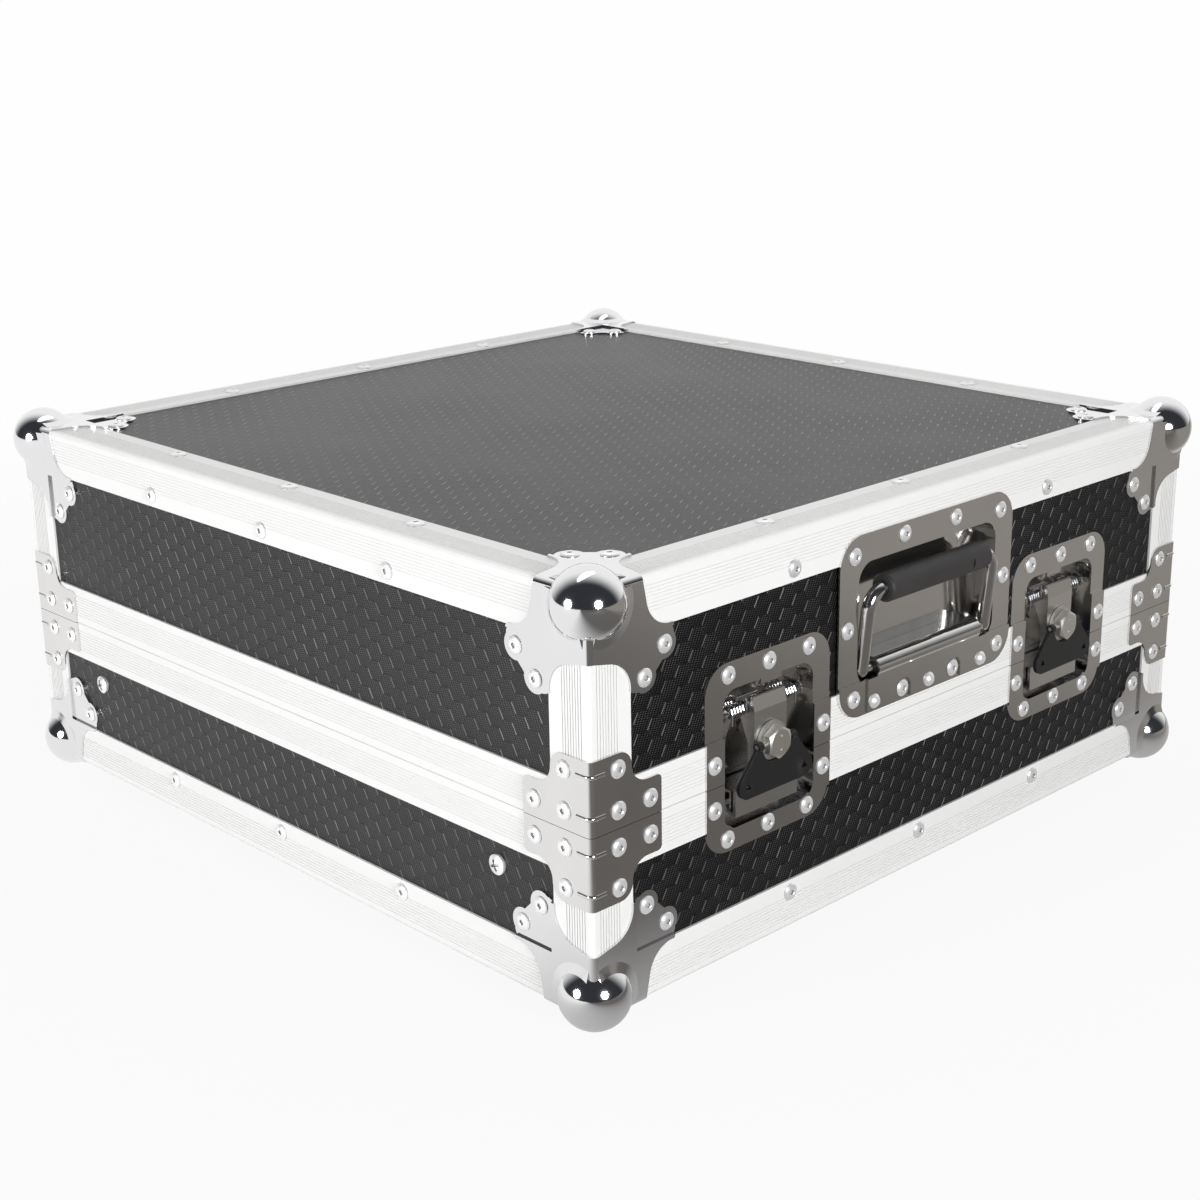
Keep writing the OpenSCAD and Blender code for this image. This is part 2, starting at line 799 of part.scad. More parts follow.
module base_rim_extrusion() {
    color(alu) difference() {
        translate([0, 0, part_z]) mirror([0, 0, 1]) rim_ring() base_rim_profile();
        all_side_holes(base_h, true);
        front_openings();
        leaf_holes(true);
    }
}

// Ball corners: three pressed plates joined by folds round the edges, and a hollow ball
// on the point. The corner is at the origin; the case fills X, Y > 0 and Z < 0.
module ball_plate_outline() {
    far = lobe_far + lobe_r * 0.8;
    near = lobe_near - lobe_r * 0.76;
    side = [[edge_r, edge_r], [fold_len, edge_r], [neck_a, neck_b], [lobe_far, neck_b],
        [far, near], [far, lobe_near], [lobe_near, far]];
    difference() {
        union() {
            polygon(side);
            mirror([1, -1]) polygon(side);
        }
        translate([hollow_a, hollow_b]) circle(hollow_r);
        translate([hollow_b, hollow_a]) circle(hollow_r);
    }
    for (p = ball_spots) translate(p) circle(lobe_r);
}

// Section of a plate folded round an edge
module fold_section() {
    intersection() {
        translate([-plate_t, -plate_t]) square(edge_r + plate_t);
        difference() {
            translate([edge_r, edge_r]) circle(edge_r + plate_t);
            translate([edge_r, edge_r]) circle(edge_r);
        }
    }
}

module beyond(distance) {
    translate([distance, distance]) square(2 * lobe_far);
}

module ball_leg() {
    difference() {
        union() {
            linear_extrude(plate_t) difference() {
                ball_plate_outline();
                beyond(joggle + plate_t);
            }
            translate([0, 0, -leg_t]) linear_extrude(plate_t) intersection() {
                ball_plate_outline();
                beyond(joggle);
            }
            translate([0, 0, -leg_t]) linear_extrude(leg_t + plate_t) intersection() {
                ball_plate_outline();
                difference() {
                    beyond(joggle);
                    beyond(joggle + plate_t);
                }
            }
            intersection() {
                translate([ball_in, ball_in, 0]) rotate_extrude() polygon([
                    [ball_seat_r, plate_t / 2], [flare_r, plate_t / 2], [flare_r, plate_t],
                    [flare_top_r, flare_h]]);
                translate([edge_r, edge_r, 0]) cube(2 * flare_r);
            }
        }
        for (p = ball_spots) translate([p[0], p[1], -leg_t - over])
            cylinder(leg_t + plate_t + 2 * over, r = hole_r);
        translate([ball_in, ball_in, -over]) cylinder(plate_t + 2 * over, r = ball_seat_r);
    }
}

module ball_fold() {
    difference() {
        linear_extrude(fold_len) fold_section();
        translate([ball_in, ball_in, ball_in]) sphere(ball_r - plate_t / 2);
    }
}

module ball_corner() {
    ball_leg();
    rotate([90, 0, 0]) mirror([0, 1, 0]) ball_leg();
    rotate([0, -90, 0]) mirror([1, 0, 0]) ball_leg();
    mirror([0, 0, 1]) {
        ball_fold();
        rotate([90, 0, 90]) ball_fold();
        rotate([-90, -90, 0]) ball_fold();
    }
    difference() {
        translate([ball_in, ball_in, -ball_in]) sphere(ball_r);
        translate([ball_in, ball_in, -ball_in]) sphere(ball_r - plate_t);
        translate([0, 0, -2 * ball_r]) cube(2 * ball_r);
    }
}

module lid_ball_corners() {
    color(chrome) translate([0, 0, part_z + lid_h]) at_corners() ball_corner();
}

module base_ball_corners() {
    color(chrome) translate([0, 0, foot_h]) mirror([0, 0, 1]) at_corners() ball_corner();
}

// Corner braces at the parting line, folded round the case's upright edges
module brace_outline() {
    difference() {
        union() {
            translate([edge_r, half_gap]) square([brace_w - edge_r, brace_tab_h - half_gap]);
            translate([edge_r, half_gap]) square([brace_neck - edge_r, brace_h - half_gap]);
            translate([brace_neck, brace_tab_h]) square(brace_hollow);
        }
        translate([brace_neck + brace_hollow, brace_tab_h + brace_hollow]) circle(brace_hollow);
        corner_round(brace_w, brace_tab_h, brace_tab_r);
        corner_round(brace_neck, brace_h, brace_top_r);
    }
}

module corner_round(x, y, r) {
    translate([x - r, y - r]) difference() {
        square(r + over);
        circle(r);
    }
}

module brace_leg() {
    difference() {
        union() {
            linear_extrude(plate_t) brace_outline();
            intersection() {
                for (v = [brace_rivet_low, brace_rivet_high])
                    translate([edge_r, v, plate_t + gusset_h - gusset_w / 2])
                        rotate([0, 90, 0]) cylinder(gusset_reach, d = gusset_w);
                cube([brace_w, brace_h, gusset_w]);
            }
        }
        for (p = brace_spots) translate([p[0], p[1], -over])
            cylinder(plate_t + 2 * over, r = hole_r);
    }
}

// A pressed rib bent round the fold
module gusset_bend() {
    rotate_extrude() intersection() {
        translate([edge_r + plate_t + gusset_h - gusset_w / 2, 0]) circle(d = gusset_w);
        translate([edge_r, -gusset_w]) square(2 * gusset_w);
    }
}

module corner_brace() {
    rotate([90, 0, 0]) brace_leg();
    mirror([1, -1, 0]) rotate([90, 0, 0]) brace_leg();
    translate([0, 0, half_gap]) linear_extrude(brace_h - half_gap) fold_section();
    for (v = [brace_rivet_low, brace_rivet_high]) intersection() {
        translate([edge_r, edge_r, v]) gusset_bend();
        translate([-gusset_w, -gusset_w, 0]) cube([edge_r + gusset_w, edge_r + gusset_w, brace_h]);
    }
}

module lid_corner_braces() {
    color(chrome) translate([0, 0, part_z]) at_corners() corner_brace();
}

module base_corner_braces() {
    color(chrome) translate([0, 0, part_z]) mirror([0, 0, 1]) at_corners() corner_brace();
}

// Rivets of each half
module lid_rivets() {
    color(chrome) {
        translate([0, 0, part_z + lid_h]) flat_rivets();
        for (k = [0 : 3]) on_face(k) side_rivets(k, lid_h);
        for (left = [true, false]) on_latch(left) {
            translate([0, 0, plate_t - leg_t]) at_sites(latch_rivets_top) rivet(panel_t + plate_t);
            translate([0, 0, plate_t]) at_sites(latch_rivets_mid) rivet(rim_in + plate_t);
        }
        for (p = grip_rivets) let(sheets = p[1] < cover_top ? 2 * plate_t : plate_t)
            on_face(0) translate([0, 0, sheets]) at_sites([p]) rivet(tail_seat(p[1]) + sheets);
        on_face(0) translate([0, 0, 3 * plate_t]) at_sites(cover_studs) cover_stud();
        for (s = [-1, 1]) on_face(2) translate([s * hinge_x, 0, leaf_t])
            at_sites(leaf_rivets) rivet(rim_in + leaf_t);
    }
}

module base_rivets() {
    color(chrome) {
        translate([0, 0, foot_h]) mirror([0, 0, 1]) flat_rivets();
        for (k = [0 : 3]) on_face(k) flip_v(true) side_rivets(k, base_h);
        for (left = [true, false]) on_latch(left) {
            translate([0, 0, plate_t]) at_sites(latch_rivets_low) rivet(rim_in + plate_t);
            translate([0, 0, plate_t - leg_t]) at_sites(latch_rivets_bot) rivet(panel_t + plate_t);
        }
        for (s = [-1, 1]) on_face(2) translate([s * hinge_x, 0, leaf_t]) flip_v(true)
            at_sites(leaf_rivets) rivet(rim_in + leaf_t);
    }
}

module cover_stud() {
    seat = rim_in + 3 * plate_t;
    intersection() {
        translate([0, 0, stud_h - stud_d / 2 * 1.1]) sphere(stud_d / 2 * 1.1);
        cylinder(stud_h, d = stud_d);
    }
    translate([0, 0, -seat]) cylinder(seat, d = rivet_d);
    translate([0, 0, -seat - rivet_tail_h]) cylinder(rivet_tail_h, d = rivet_tail_d);
}

// Latch dishes: a flange stepped over the rim, and a recess shared by lid and base
module dish_outline() {
    round_rect(dish_w, -dish_bot, dish_top, dish_r);
}

module well_outline(grow) {
    round_rect(well_w + 2 * grow, -well_bot - grow, well_top + grow, well_r + grow);
}

module latch_dish(down) {
    step = rim_leg + mitre_gap;
    flip_v(down) difference() {
        union() {
            slab(0, plate_t) intersection() {
                flip_v(down) flange_outline();
                band(half_gap, step + plate_t);
            }
            slab(-leg_t, plate_t - leg_t) intersection() {
                flip_v(down) flange_outline();
                band(step, dish_top + over);
            }
            slab(-leg_t, plate_t) intersection() {
                flip_v(down) flange_outline();
                band(step, step + plate_t);
            }
            slab(-well_deep - plate_t, plate_t) intersection() {
                flip_v(down) wall_outline();
                band(half_gap, step + plate_t);
            }
            slab(-well_deep - plate_t, plate_t - leg_t) intersection() {
                flip_v(down) wall_outline();
                band(step, dish_top);
            }
            slab(-well_deep - plate_t, -well_deep) intersection() {
                flip_v(down) well_outline(plate_t);
                band(half_gap, dish_top);
            }
        }
        flip_v(down) at_sites(latch_rivets) translate([0, 0, -leg_t - over])
            cylinder(leg_t + plate_t + 2 * over, r = hole_r);
    }
}

module flange_outline() {
    difference() {
        dish_outline();
        well_outline(0);
    }
}

module wall_outline() {
    difference() {
        well_outline(plate_t);
        well_outline(0);
    }
}

module pivot_ear() {
    r = pin_cap_d / 2 + pin_cap_t;
    side_run(cheek_t) difference() {
        union() {
            translate([pivot_in, pivot_z]) circle(r);
            translate([pivot_in, pivot_z - r]) square([well_deep - pivot_in, 2 * r]);
        }
        translate([pivot_in, pivot_z]) circle(pivot_d / 2 + pin_play);
    }
}

module latch_lid_dish(left) {
    color(chrome) on_latch(left) {
        latch_dish(false);
        for (s = [-1, 1]) translate([s * ear_x, 0, 0]) pivot_ear();
    }
}

// The catch: a shelf from the floor of the dish with a lip turned down behind the hook
module latch_catch() {
    lip_low = hook_floor + (catch_in - tongue_back) * tan_hook + lip_gap;
    side_run(hook_w) polygon([[well_deep, catch_top], [catch_in, catch_top],
        [catch_in, lip_low], [catch_in + catch_t, lip_low + catch_t * tan_hook],
        [catch_in + catch_t, catch_top - catch_t], [well_deep, catch_top - catch_t]]);
}

module latch_base_dish(left) {
    color(chrome) on_latch(left) {
        latch_dish(true);
        latch_catch();
    }
}

module latch_lid_dish_left() { latch_lid_dish(true); }
module latch_lid_dish_right() { latch_lid_dish(false); }
module latch_base_dish_left() { latch_base_dish(true); }
module latch_base_dish_right() { latch_base_dish(false); }

module x_pin(length, d) {
    rotate([0, 90, 0]) cylinder(length, d = d, center = true);
}

module latch_pivot_pins() {
    half = ear_x + cheek_t / 2;
    color(chrome) for (left = [true, false]) on_latch(left) translate([0, pivot_z, -pivot_in]) {
        x_pin(2 * half, pivot_d);
        for (s = [-1, 1]) translate([s * (half + pin_cap_t / 2), 0, 0]) x_pin(pin_cap_t, pin_cap_d);
    }
}

// A wire swept along a path that never runs along X
function unit(v) = v / norm(v);
function heading(path, i) = unit(path[min(i + 1, len(path) - 1)] - path[max(i - 1, 0)]);
function wire_ring(p, t, r, n) = let(u = unit(cross(t, [1, 0, 0])), w = cross(t, u))
    [for (j = [0 : n - 1]) p + r * (cos(360 * j / n) * u + sin(360 * j / n) * w)];
function coil_path(r, pitch, turns, leg) = let(
    n = turns * spring_rings,
    turn = [for (i = [0 : n]) let(a = 360 * i / spring_rings)
        [pitch * i / spring_rings, r * cos(a), r * sin(a)]])
    concat([turn[0] - [0, 0, leg]], turn, [turn[n] + [0, 0, leg]]);
function least_gap(path, wire) = min([for (i = [0 : len(path) - 1])
    for (j = [i + spring_rings / 2 : len(path) - 1]) norm(path[i] - path[j])]) - wire;

module wire_along(path, wire) {
    n = spring_sides;
    last = len(path) - 1;
    points = [for (i = [0 : last]) each wire_ring(path[i], heading(path, i), wire / 2, n)];
    sides = [for (i = [0 : last - 1]) for (j = [0 : n - 1]) let(
        a = i * n + j, b = i * n + (j + 1) % n) each [[a, a + n, b], [b, a + n, b + n]]];
    caps = [for (j = [1 : n - 2]) each [[0, j, j + 1],
        [last * n, last * n + j + 1, last * n + j]]];
    polyhedron(points, concat(sides, caps));
}

module torsion_spring() {
    wire_along(coil_path(spring_r, spring_pitch, spring_turns, spring_leg), spring_wire);
}

module latch_springs() {
    start = arm_w / 2 + spring_wire;
    color(chrome) for (left = [true, false]) on_latch(left)
        translate([0, pivot_z, -pivot_in]) for (s = [0, 1])
            mirror([s, 0, 0]) translate([start, 0, 0]) rotate([90, 0, 0]) torsion_spring();
}

// The arm hangs from the pivot; its cheeks run back past the tongue
module latch_arm(left) {
    bend = (arm_top - arm_bend) / 5;
    color(chrome) on_latch(left) difference() {
        union() {
            side_run(arm_w) polygon([[arm_face, arm_low], [arm_face, arm_bend],
                [arm_face + bend, arm_top], [arm_back + bend, arm_top], [arm_back, arm_bend],
                [arm_back, arm_low]]);
            for (s = [-1, 1]) translate([s * (arm_w - cheek_t) / 2, 0, 0]) arm_cheek();
        }
        translate([0, key_z, -arm_t]) cylinder(2 * arm_t, r = spindle_d / 2 + pin_play);
    }
}

module arm_cheek() {
    side_run(cheek_t) difference() {
        union() {
            translate([pivot_in, pivot_z]) circle(cheek_r);
            polygon([[arm_face, arm_low + arm_t], [arm_face, arm_bend], [pivot_in, pivot_z + cheek_r],
                [pivot_in + cheek_r * 0.9, pivot_z - cheek_r * 0.44], [tongue_back + free, key_z],
                [tongue_back + free, arm_low + 2 * arm_t], [arm_back, arm_low]]);
        }
        translate([pivot_in, pivot_z]) circle(pivot_d / 2 + pin_play);
    }
}

module latch_arm_left() { latch_arm(true); }
module latch_arm_right() { latch_arm(false); }

// The tongue slides down behind the arm; its foot hooks under the catch
module latch_tongue(left) {
    color(chrome) on_latch(left) {
        difference() {
            side_run(2 * tongue_half) polygon([[tongue_face, hook_low], [tongue_face, tongue_top],
                [tongue_back, tongue_top], [tongue_back, hook_low]]);
            translate([-key_slot_w / 2, key_z + cam_throw - key_slot_h / 2, -tongue_back - over])
                cube([key_slot_w, key_slot_h, tongue_back + 2 * over]);
        }
        side_run(hook_w) polygon([[tongue_face, hook_low], [tongue_face, hook_top],
            [tongue_back, hook_top], [tongue_back, hook_floor],
            [hook_end, hook_floor + (hook_end - tongue_back) * tan_hook],
            [hook_end, hook_floor], [tongue_back, hook_low]]);
    }
}

module latch_tongue_left() { latch_tongue(true); }
module latch_tongue_right() { latch_tongue(false); }

// The key: a hex head with a collar, a spindle through the arm and a cam pin behind it
module latch_key(left) {
    edge = hex_d * 0.06;
    dimple_d = hex_d * 0.09;
    color("lightgray") on_latch(left) translate([0, key_z, 0]) {
        difference() {
            intersection() {
                rotate([0, 0, 30]) translate([0, 0, hex_back])
                    cylinder(hex_out - hex_back, d = hex_d, $fn = 6);
                rotate_extrude() polygon([[0, hex_back], [hex_d / 2, hex_back],
                    [hex_d / 2, hex_out - edge], [hex_d / 2 - 2 * edge, hex_out], [0, hex_out]]);
            }
            for (s = [-1, 1]) translate([0, s * hex_d / 5, hex_out - dimple_d / 2])
                cylinder(dimple_d, d = dimple_d);
        }
        translate([0, 0, collar_back]) cylinder(collar_t, r = collar_r);
        cylinder(hex_back + over, d = spindle_d - 2 * pin_play);
        translate([0, 0, -arm_back]) cylinder(arm_back + over, d = spindle_d);
        translate([0, cam_throw, -tongue_back - free - key_disc_t]) {
            cylinder(tongue_back + free + key_disc_t, d = cam_d);
            cylinder(key_disc_t, d = key_disc_d);
        }
        for (s = [-1, 1]) translate([s * (wing_ear + hex_d / 3) / 2, 0, wing_mid])
            x_pin(wing_ear + pin_play - hex_d / 3, wing_pin_d);
    }
}

module latch_key_left() { latch_key(true); }
module latch_key_right() { latch_key(false); }

// The wing folds on the key's two side pins
module latch_wing(left) {
    lobe_x = wing_w / 2 - lobe_wing_r;
    lobe_y = -wing_reach + lobe_wing_r;
    color(black) on_latch(left) translate([0, key_z, wing_mid]) {
        difference() {
            translate([0, 0, -wing_t / 2]) linear_extrude(wing_t) difference() {
                union() {
                    polygon([[-wing_ear, 0], [-lobe_x - lobe_wing_r * 0.77, lobe_y + lobe_wing_r * 0.64],
                        [-lobe_x, -wing_reach], [lobe_x, -wing_reach],
                        [lobe_x + lobe_wing_r * 0.77, lobe_y + lobe_wing_r * 0.64], [wing_ear, 0]]);
                    for (s = [-1, 1]) translate([s * lobe_x, lobe_y]) circle(lobe_wing_r);
                }
                circle(wing_bore);
                for (s = [-1, 1]) translate([s * lobe_x, lobe_y])
                    rotate(90) circle(lobe_wing_r * 0.42, $fn = 3);
            }
            for (s = [-1, 1]) translate([s * (wing_bore + wing_ear) / 2, 0, 0])
                x_pin(wing_ear, wing_pin_d + 2 * pin_play);
        }
        difference() {
            for (s = [-1, 1]) translate([s * (wing_bore + wing_ear) / 2, 0, 0])
                x_pin(wing_ear - wing_bore, barrel_d);
            x_pin(2 * wing_ear + over, wing_pin_d + 2 * pin_play);
        }
    }
}

module latch_wing_left() { latch_wing(true); }
module latch_wing_right() { latch_wing(false); }

// Handle
module bay_outline(grow) {
    round_rect(bay_w + 2 * grow, bay_bot - grow, bay_top + grow, bay_r + grow);
}

module handle_dish() {
    color(chrome) on_face(0) {
        difference() {
            union() {
                slab(0, plate_t) difference() {
                    round_rect(grip_plate_w, grip_plate_bot, grip_plate_top, grip_plate_r);
                    bay_outline(0);
                }
                slab(-bay_deep - plate_t, plate_t) difference() {
                    bay_outline(plate_t);
                    bay_outline(0);
                }
                slab(-bay_deep - plate_t, -bay_deep) bay_outline(plate_t);
            }
            at_sites(concat(grip_rivets, cover_studs)) translate([0, 0, -over])
                cylinder(plate_t + 2 * over, r = hole_r);
        }
        for (s = [-1, 1]) translate([s * bearing_x, 0, 0]) bail_bearing();
    }
}

module bail_bearing() {
    r = stub_d / 2 + cheek_t;
    side_run(bearing_t) difference() {
        union() {
            translate([bail_in, bail_z]) circle(r);
            translate([bail_in, bail_z - r]) square([bay_deep - bail_in, 2 * r]);
        }
        translate([bail_in, bail_z]) circle(stub_d / 2 + pin_play);
    }
}

// The lower edge of the flange is doubled by a plate
module handle_bottom_plate() {
    color(chrome) on_face(0) difference() {
        slab(plate_t, 2 * plate_t) intersection() {
            round_rect(grip_plate_w, grip_plate_bot, grip_plate_top, grip_plate_r);
            band(grip_plate_bot, cover_top);
        }
        at_sites(concat(grip_rivets, cover_studs)) cylinder(2 * plate_t + over, r = hole_r);
    }
}

// The cover hides the bail's pivot: a notched strip, and a barrel that runs back to the floor
module cover_strip() {
    difference() {
        slab(2 * plate_t, 3 * plate_t) difference() {
            translate([-cover_half, cover_low]) square([2 * cover_half, cover_top - cover_low]);
            for (s = [-1, 1]) let(x = s * grip_rivet_pitch, v = grip_plate_bot + grip_rivet_in) {
                translate([x, v]) circle(notch_r);
                translate([x - notch_r, cover_low - over])
                    square([2 * notch_r, v - cover_low + over]);
            }
        }
        at_sites(cover_studs) cylinder(3 * plate_t + over, r = hole_r);
    }
}

module cover_barrel() {
    shell_r = barrel_r + plate_t;
    side_run(2 * barrel_half) difference() {
        union() {
            translate([bail_in, bail_z]) circle(shell_r);
            translate([bail_in, bail_z]) square([bay_deep - bail_in, shell_r]);
            translate([-3 * plate_t, cover_top - plate_t])
                square([plate_t, bail_z - barrel_r / 2 - cover_top + plate_t]);
        }
        translate([bail_in, bail_z]) circle(barrel_r);
        translate([-2 * plate_t, bail_z - shell_r - over])
            square([bay_deep + 2 * plate_t + over, shell_r + over]);
        translate([bail_in, bail_z - over]) square([bay_deep, barrel_r + over]);
    }
}

module handle_cover() {
    color(chrome) on_face(0) {
        cover_strip();
        cover_barrel();
    }
}

// The bail's own frame: its pivot is the origin and its legs run up Y
module on_bail() {
    on_face(0) translate([0, bail_z, -bail_in]) rotate([bail_tilt, 0, 0]) children();
}

module handle_bail() {
    leg = bail_len - bail_bend;
    color(chrome) on_bail() {
        for (s = [-1, 1]) {
            translate([s * bail_x, 0, 0]) rotate([-90, 0, 0]) cylinder(leg, d = bail_d);
            translate([s * bail_x, 0, 0]) sphere(d = bail_d);
            translate([s * (bail_x + bearing_x - bearing_t) / 2, 0, 0])
                x_pin(bail_x - bearing_x + bearing_t, stub_d);
        }
        for (s = [0, 1]) mirror([s, 0, 0]) translate([bail_x - bail_bend, leg, 0])
            rotate_extrude(angle = 90) translate([bail_bend, 0]) circle(d = bail_d);
        translate([0, bail_len, 0]) x_pin(2 * (bail_x - bail_bend), bail_d);
    }
}

module handle_grip() {
    edge = grip_d / 12;
    r = grip_d / 2;
    color(rubber) on_bail() translate([0, bail_len, 0]) difference() {
        rotate([0, 90, 0]) rotate_extrude() polygon([[bail_d / 2 + pin_play, -grip_len / 2],
            [r - edge, -grip_len / 2], [r, edge - grip_len / 2], [r, grip_len / 2 - edge],
            [r - edge, grip_len / 2], [bail_d / 2 + pin_play, grip_len / 2]]);
        translate([-label_w / 2, -label_h / 2, r - label_deep])
            cube([label_w, label_h, r]);
    }
}

module handle_springs() {
    start = bearing_x - bearing_t - grip_spring_wire;
    color(chrome) on_face(0) translate([0, bail_z, -bail_in]) for (s = [0, 1])
        mirror([s, 0, 0]) translate([start, 0, 0]) mirror([1, 0, 0]) wire_along(coil_path(
            grip_spring_r, grip_spring_pitch, grip_spring_turns, spring_wire), grip_spring_wire);
}

// Hinges on the back face, with their axis behind the parting line
module hinge_leaf(lid) {
    first = lid ? 1 : 0;
    knuckle = [for (i = [first : 2 : hinge_knuckles - 1])
        -leaf_w / 2 + (i + 0.5) * knuckle_len];
    difference() {
        union() {
            translate([-leaf_w / 2, leaf_clear, 0])
                cube([leaf_w, leaf_h - leaf_clear, leaf_t]);
            for (x = knuckle) translate([x, 0, 0]) side_run(knuckle_len - knuckle_gap)
                mirror([1, 0]) union() {
                    translate([hinge_out, 0]) circle(knuckle_r);
                    polygon([[0, half_gap], [0, leaf_clear + leaf_t], [leaf_t, leaf_clear + leaf_t],
                        [hinge_out, knuckle_r], [hinge_out, 0], [hinge_out - knuckle_r, half_gap]]);
                }
        }
        translate([0, 0, hinge_out]) x_pin(leaf_w + over, hinge_pin_d + 2 * pin_play);
        at_sites(leaf_rivets) translate([0, 0, -over]) cylinder(leaf_t + 2 * over, r = hole_r);
    }
}

module hinge_lid_leaves() {
    color(chrome) for (s = [-1, 1]) on_face(2) translate([s * hinge_x, 0, 0]) hinge_leaf(true);
}

module hinge_base_leaves() {
    color(chrome) for (s = [-1, 1]) on_face(2) translate([s * hinge_x, 0, 0])
        flip_v(true) hinge_leaf(false);
}

module hinge_pins() {
    color(chrome) for (s = [-1, 1]) on_face(2) translate([s * hinge_x, 0, hinge_out])
        x_pin(leaf_w, hinge_pin_d);
}

// Rack rails on battens along the base's side walls
module rail_screw_sites() {
    for (s = [-1, 1]) translate([s * rail_screw_y, rail_screw_v, 0]) children();
}

module screw_hole() {
    translate([0, 0, -half_w]) cylinder(half_w + over, r = screw_d / 2 + rivet_play);
}

module rail_batten(k) {
    color(ply) on_face(k) difference() {
        slab(-inner - batten_t, -inner) translate([-batten_len / 2, rail_top - rail_t - batten_h])
            square([batten_len, batten_h]);
        rail_screw_sites() screw_hole();
    }
}

module rack_rail(k) {
    near = half_w - rail_outer_x;
    color(alu) on_face(k) difference() {
        translate([-rail_len / 2, 0, 0]) rotate([0, 90, 0]) linear_extrude(rail_len)
            union() {
                translate([near, rail_top - rail_t]) square([rail_flange, rail_t]);
                translate([near, rail_top - rail_side]) square([rail_t, rail_side]);
            }
        for (i = [0 : rack_units - 1]) for (share = rack_hole_shares)
            translate([(i + share - rack_units / 2) * rack_unit, rail_top - rail_t - over,
                rack_span / 2 - half_w]) rotate([-90, 0, 0])
                cylinder(rail_t + 2 * over, d = rack_hole_d);
        rail_screw_sites() screw_hole();
    }
}

module rail_batten_right() { rail_batten(1); }
module rail_batten_left() { rail_batten(3); }
module rack_rail_right() { rack_rail(1); }
module rack_rail_left() { rack_rail(3); }

module rail_screws() {
    reach = half_w - rail_outer_x + rail_t + nut_t - leg_t + over;
    color(chrome) for (k = [1, 3]) on_face(k) rail_screw_sites() translate([0, 0, -leg_t]) {
        difference() {
            intersection() {
                translate([0, 0, screw_head_h - screw_head_d]) sphere(screw_head_d);
                cylinder(screw_head_h, d = screw_head_d);
            }
            for (a = [0, 90]) rotate([0, 0, a + 20])
                translate([-drive_len / 2, -drive_w / 2, screw_head_h - drive_deep])
                    cube([drive_len, drive_w, drive_deep + over]);
        }
        translate([0, 0, -reach]) cylinder(reach, d = screw_d);
    }
}

module rail_nuts() {
    seat = half_w - rail_outer_x + rail_t;
    color(chrome) for (k = [1, 3]) on_face(k) rail_screw_sites()
        translate([0, 0, -seat - nut_t]) difference() {
            cylinder(nut_t, d = nut_af / cos(30), $fn = 6);
            translate([0, 0, -over]) cylinder(nut_t + 2 * over, r = screw_d / 2 + pin_play);
        }
}

// Foam
module foam_pad(t) {
    linear_extrude(t) square([case_w - 2 * foam_in, case_d - 2 * foam_in], center = true);
}

module lid_foam() {
    color(rubber) translate([0, 0, part_z + lid_h - inner - lid_foam_t]) foam_pad(lid_foam_t);
}

module base_foam() {
    color(rubber) difference() {
        translate([0, 0, foot_h + inner]) foam_pad(base_foam_t);
        foot_sites() cylinder(foot_h + inner + foot_screw_len, d = foot_screw_head);
    }
}

// Feet
module foot_sites() {
    for (sx = [-1, 1]) for (sy = [-1, 1])
        translate([sx * (half_w - foot_in), sy * (half_d - foot_in), 0]) children();
}

module rubber_feet() {
    color(rubber) foot_sites() difference() {
        cylinder(foot_h + leg_t, d1 = foot_d, d2 = foot_top_d);
        translate([0, 0, -over]) cylinder(foot_bore_deep + over, d = foot_bore_d);
        cylinder(foot_h + leg_t + over, r = foot_screw_d / 2 + pin_play);
    }
}

module foot_screws() {
    color(chrome) foot_sites() {
        translate([0, 0, foot_bore_deep - foot_screw_head_h])
            cylinder(foot_screw_head_h, d = foot_screw_head);
        translate([0, 0, foot_bore_deep - over])
            cylinder(foot_h + inner - foot_bore_deep + foot_screw_len / 2, d = foot_screw_d);
    }
}

echo("latch spring's least gap", least_gap(coil_path(spring_r, spring_pitch, spring_turns,
    spring_leg), spring_wire));
echo("handle spring's least gap", least_gap(coil_path(grip_spring_r, grip_spring_pitch,
    grip_spring_turns, spring_wire), grip_spring_wire));

lid_top_panel();
lid_front_panel();
lid_back_panel();
lid_left_panel();
lid_right_panel();
lid_top_edging();
lid_corner_edging();
lid_rim_extrusion();
lid_ball_corners();
lid_corner_braces();
lid_rivets();
lid_foam();
handle_dish();
handle_bottom_plate();
handle_cover();
handle_bail();
handle_grip();
handle_springs();
latch_lid_dish_left();
latch_lid_dish_right();
latch_pivot_pins();
latch_springs();
latch_arm_left();
latch_tongue_left();
latch_key_left();
latch_wing_left();
latch_arm_right();
latch_tongue_right();
latch_key_right();
latch_wing_right();
latch_base_dish_left();
latch_base_dish_right();
hinge_lid_leaves();
hinge_base_leaves();
hinge_pins();
base_bottom_panel();
base_front_panel();
base_back_panel();
base_left_panel();
base_right_panel();
base_bottom_edging();
base_corner_edging();
base_rim_extrusion();
base_ball_corners();
base_corner_braces();
base_rivets();
base_foam();
rail_batten_left();
rail_batten_right();
rack_rail_left();
rack_rail_right();
rail_screws();
rail_nuts();
rubber_feet();
foot_screws();
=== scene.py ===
import math

import bmesh
import bpy
from mathutils import Matrix, Vector, noise


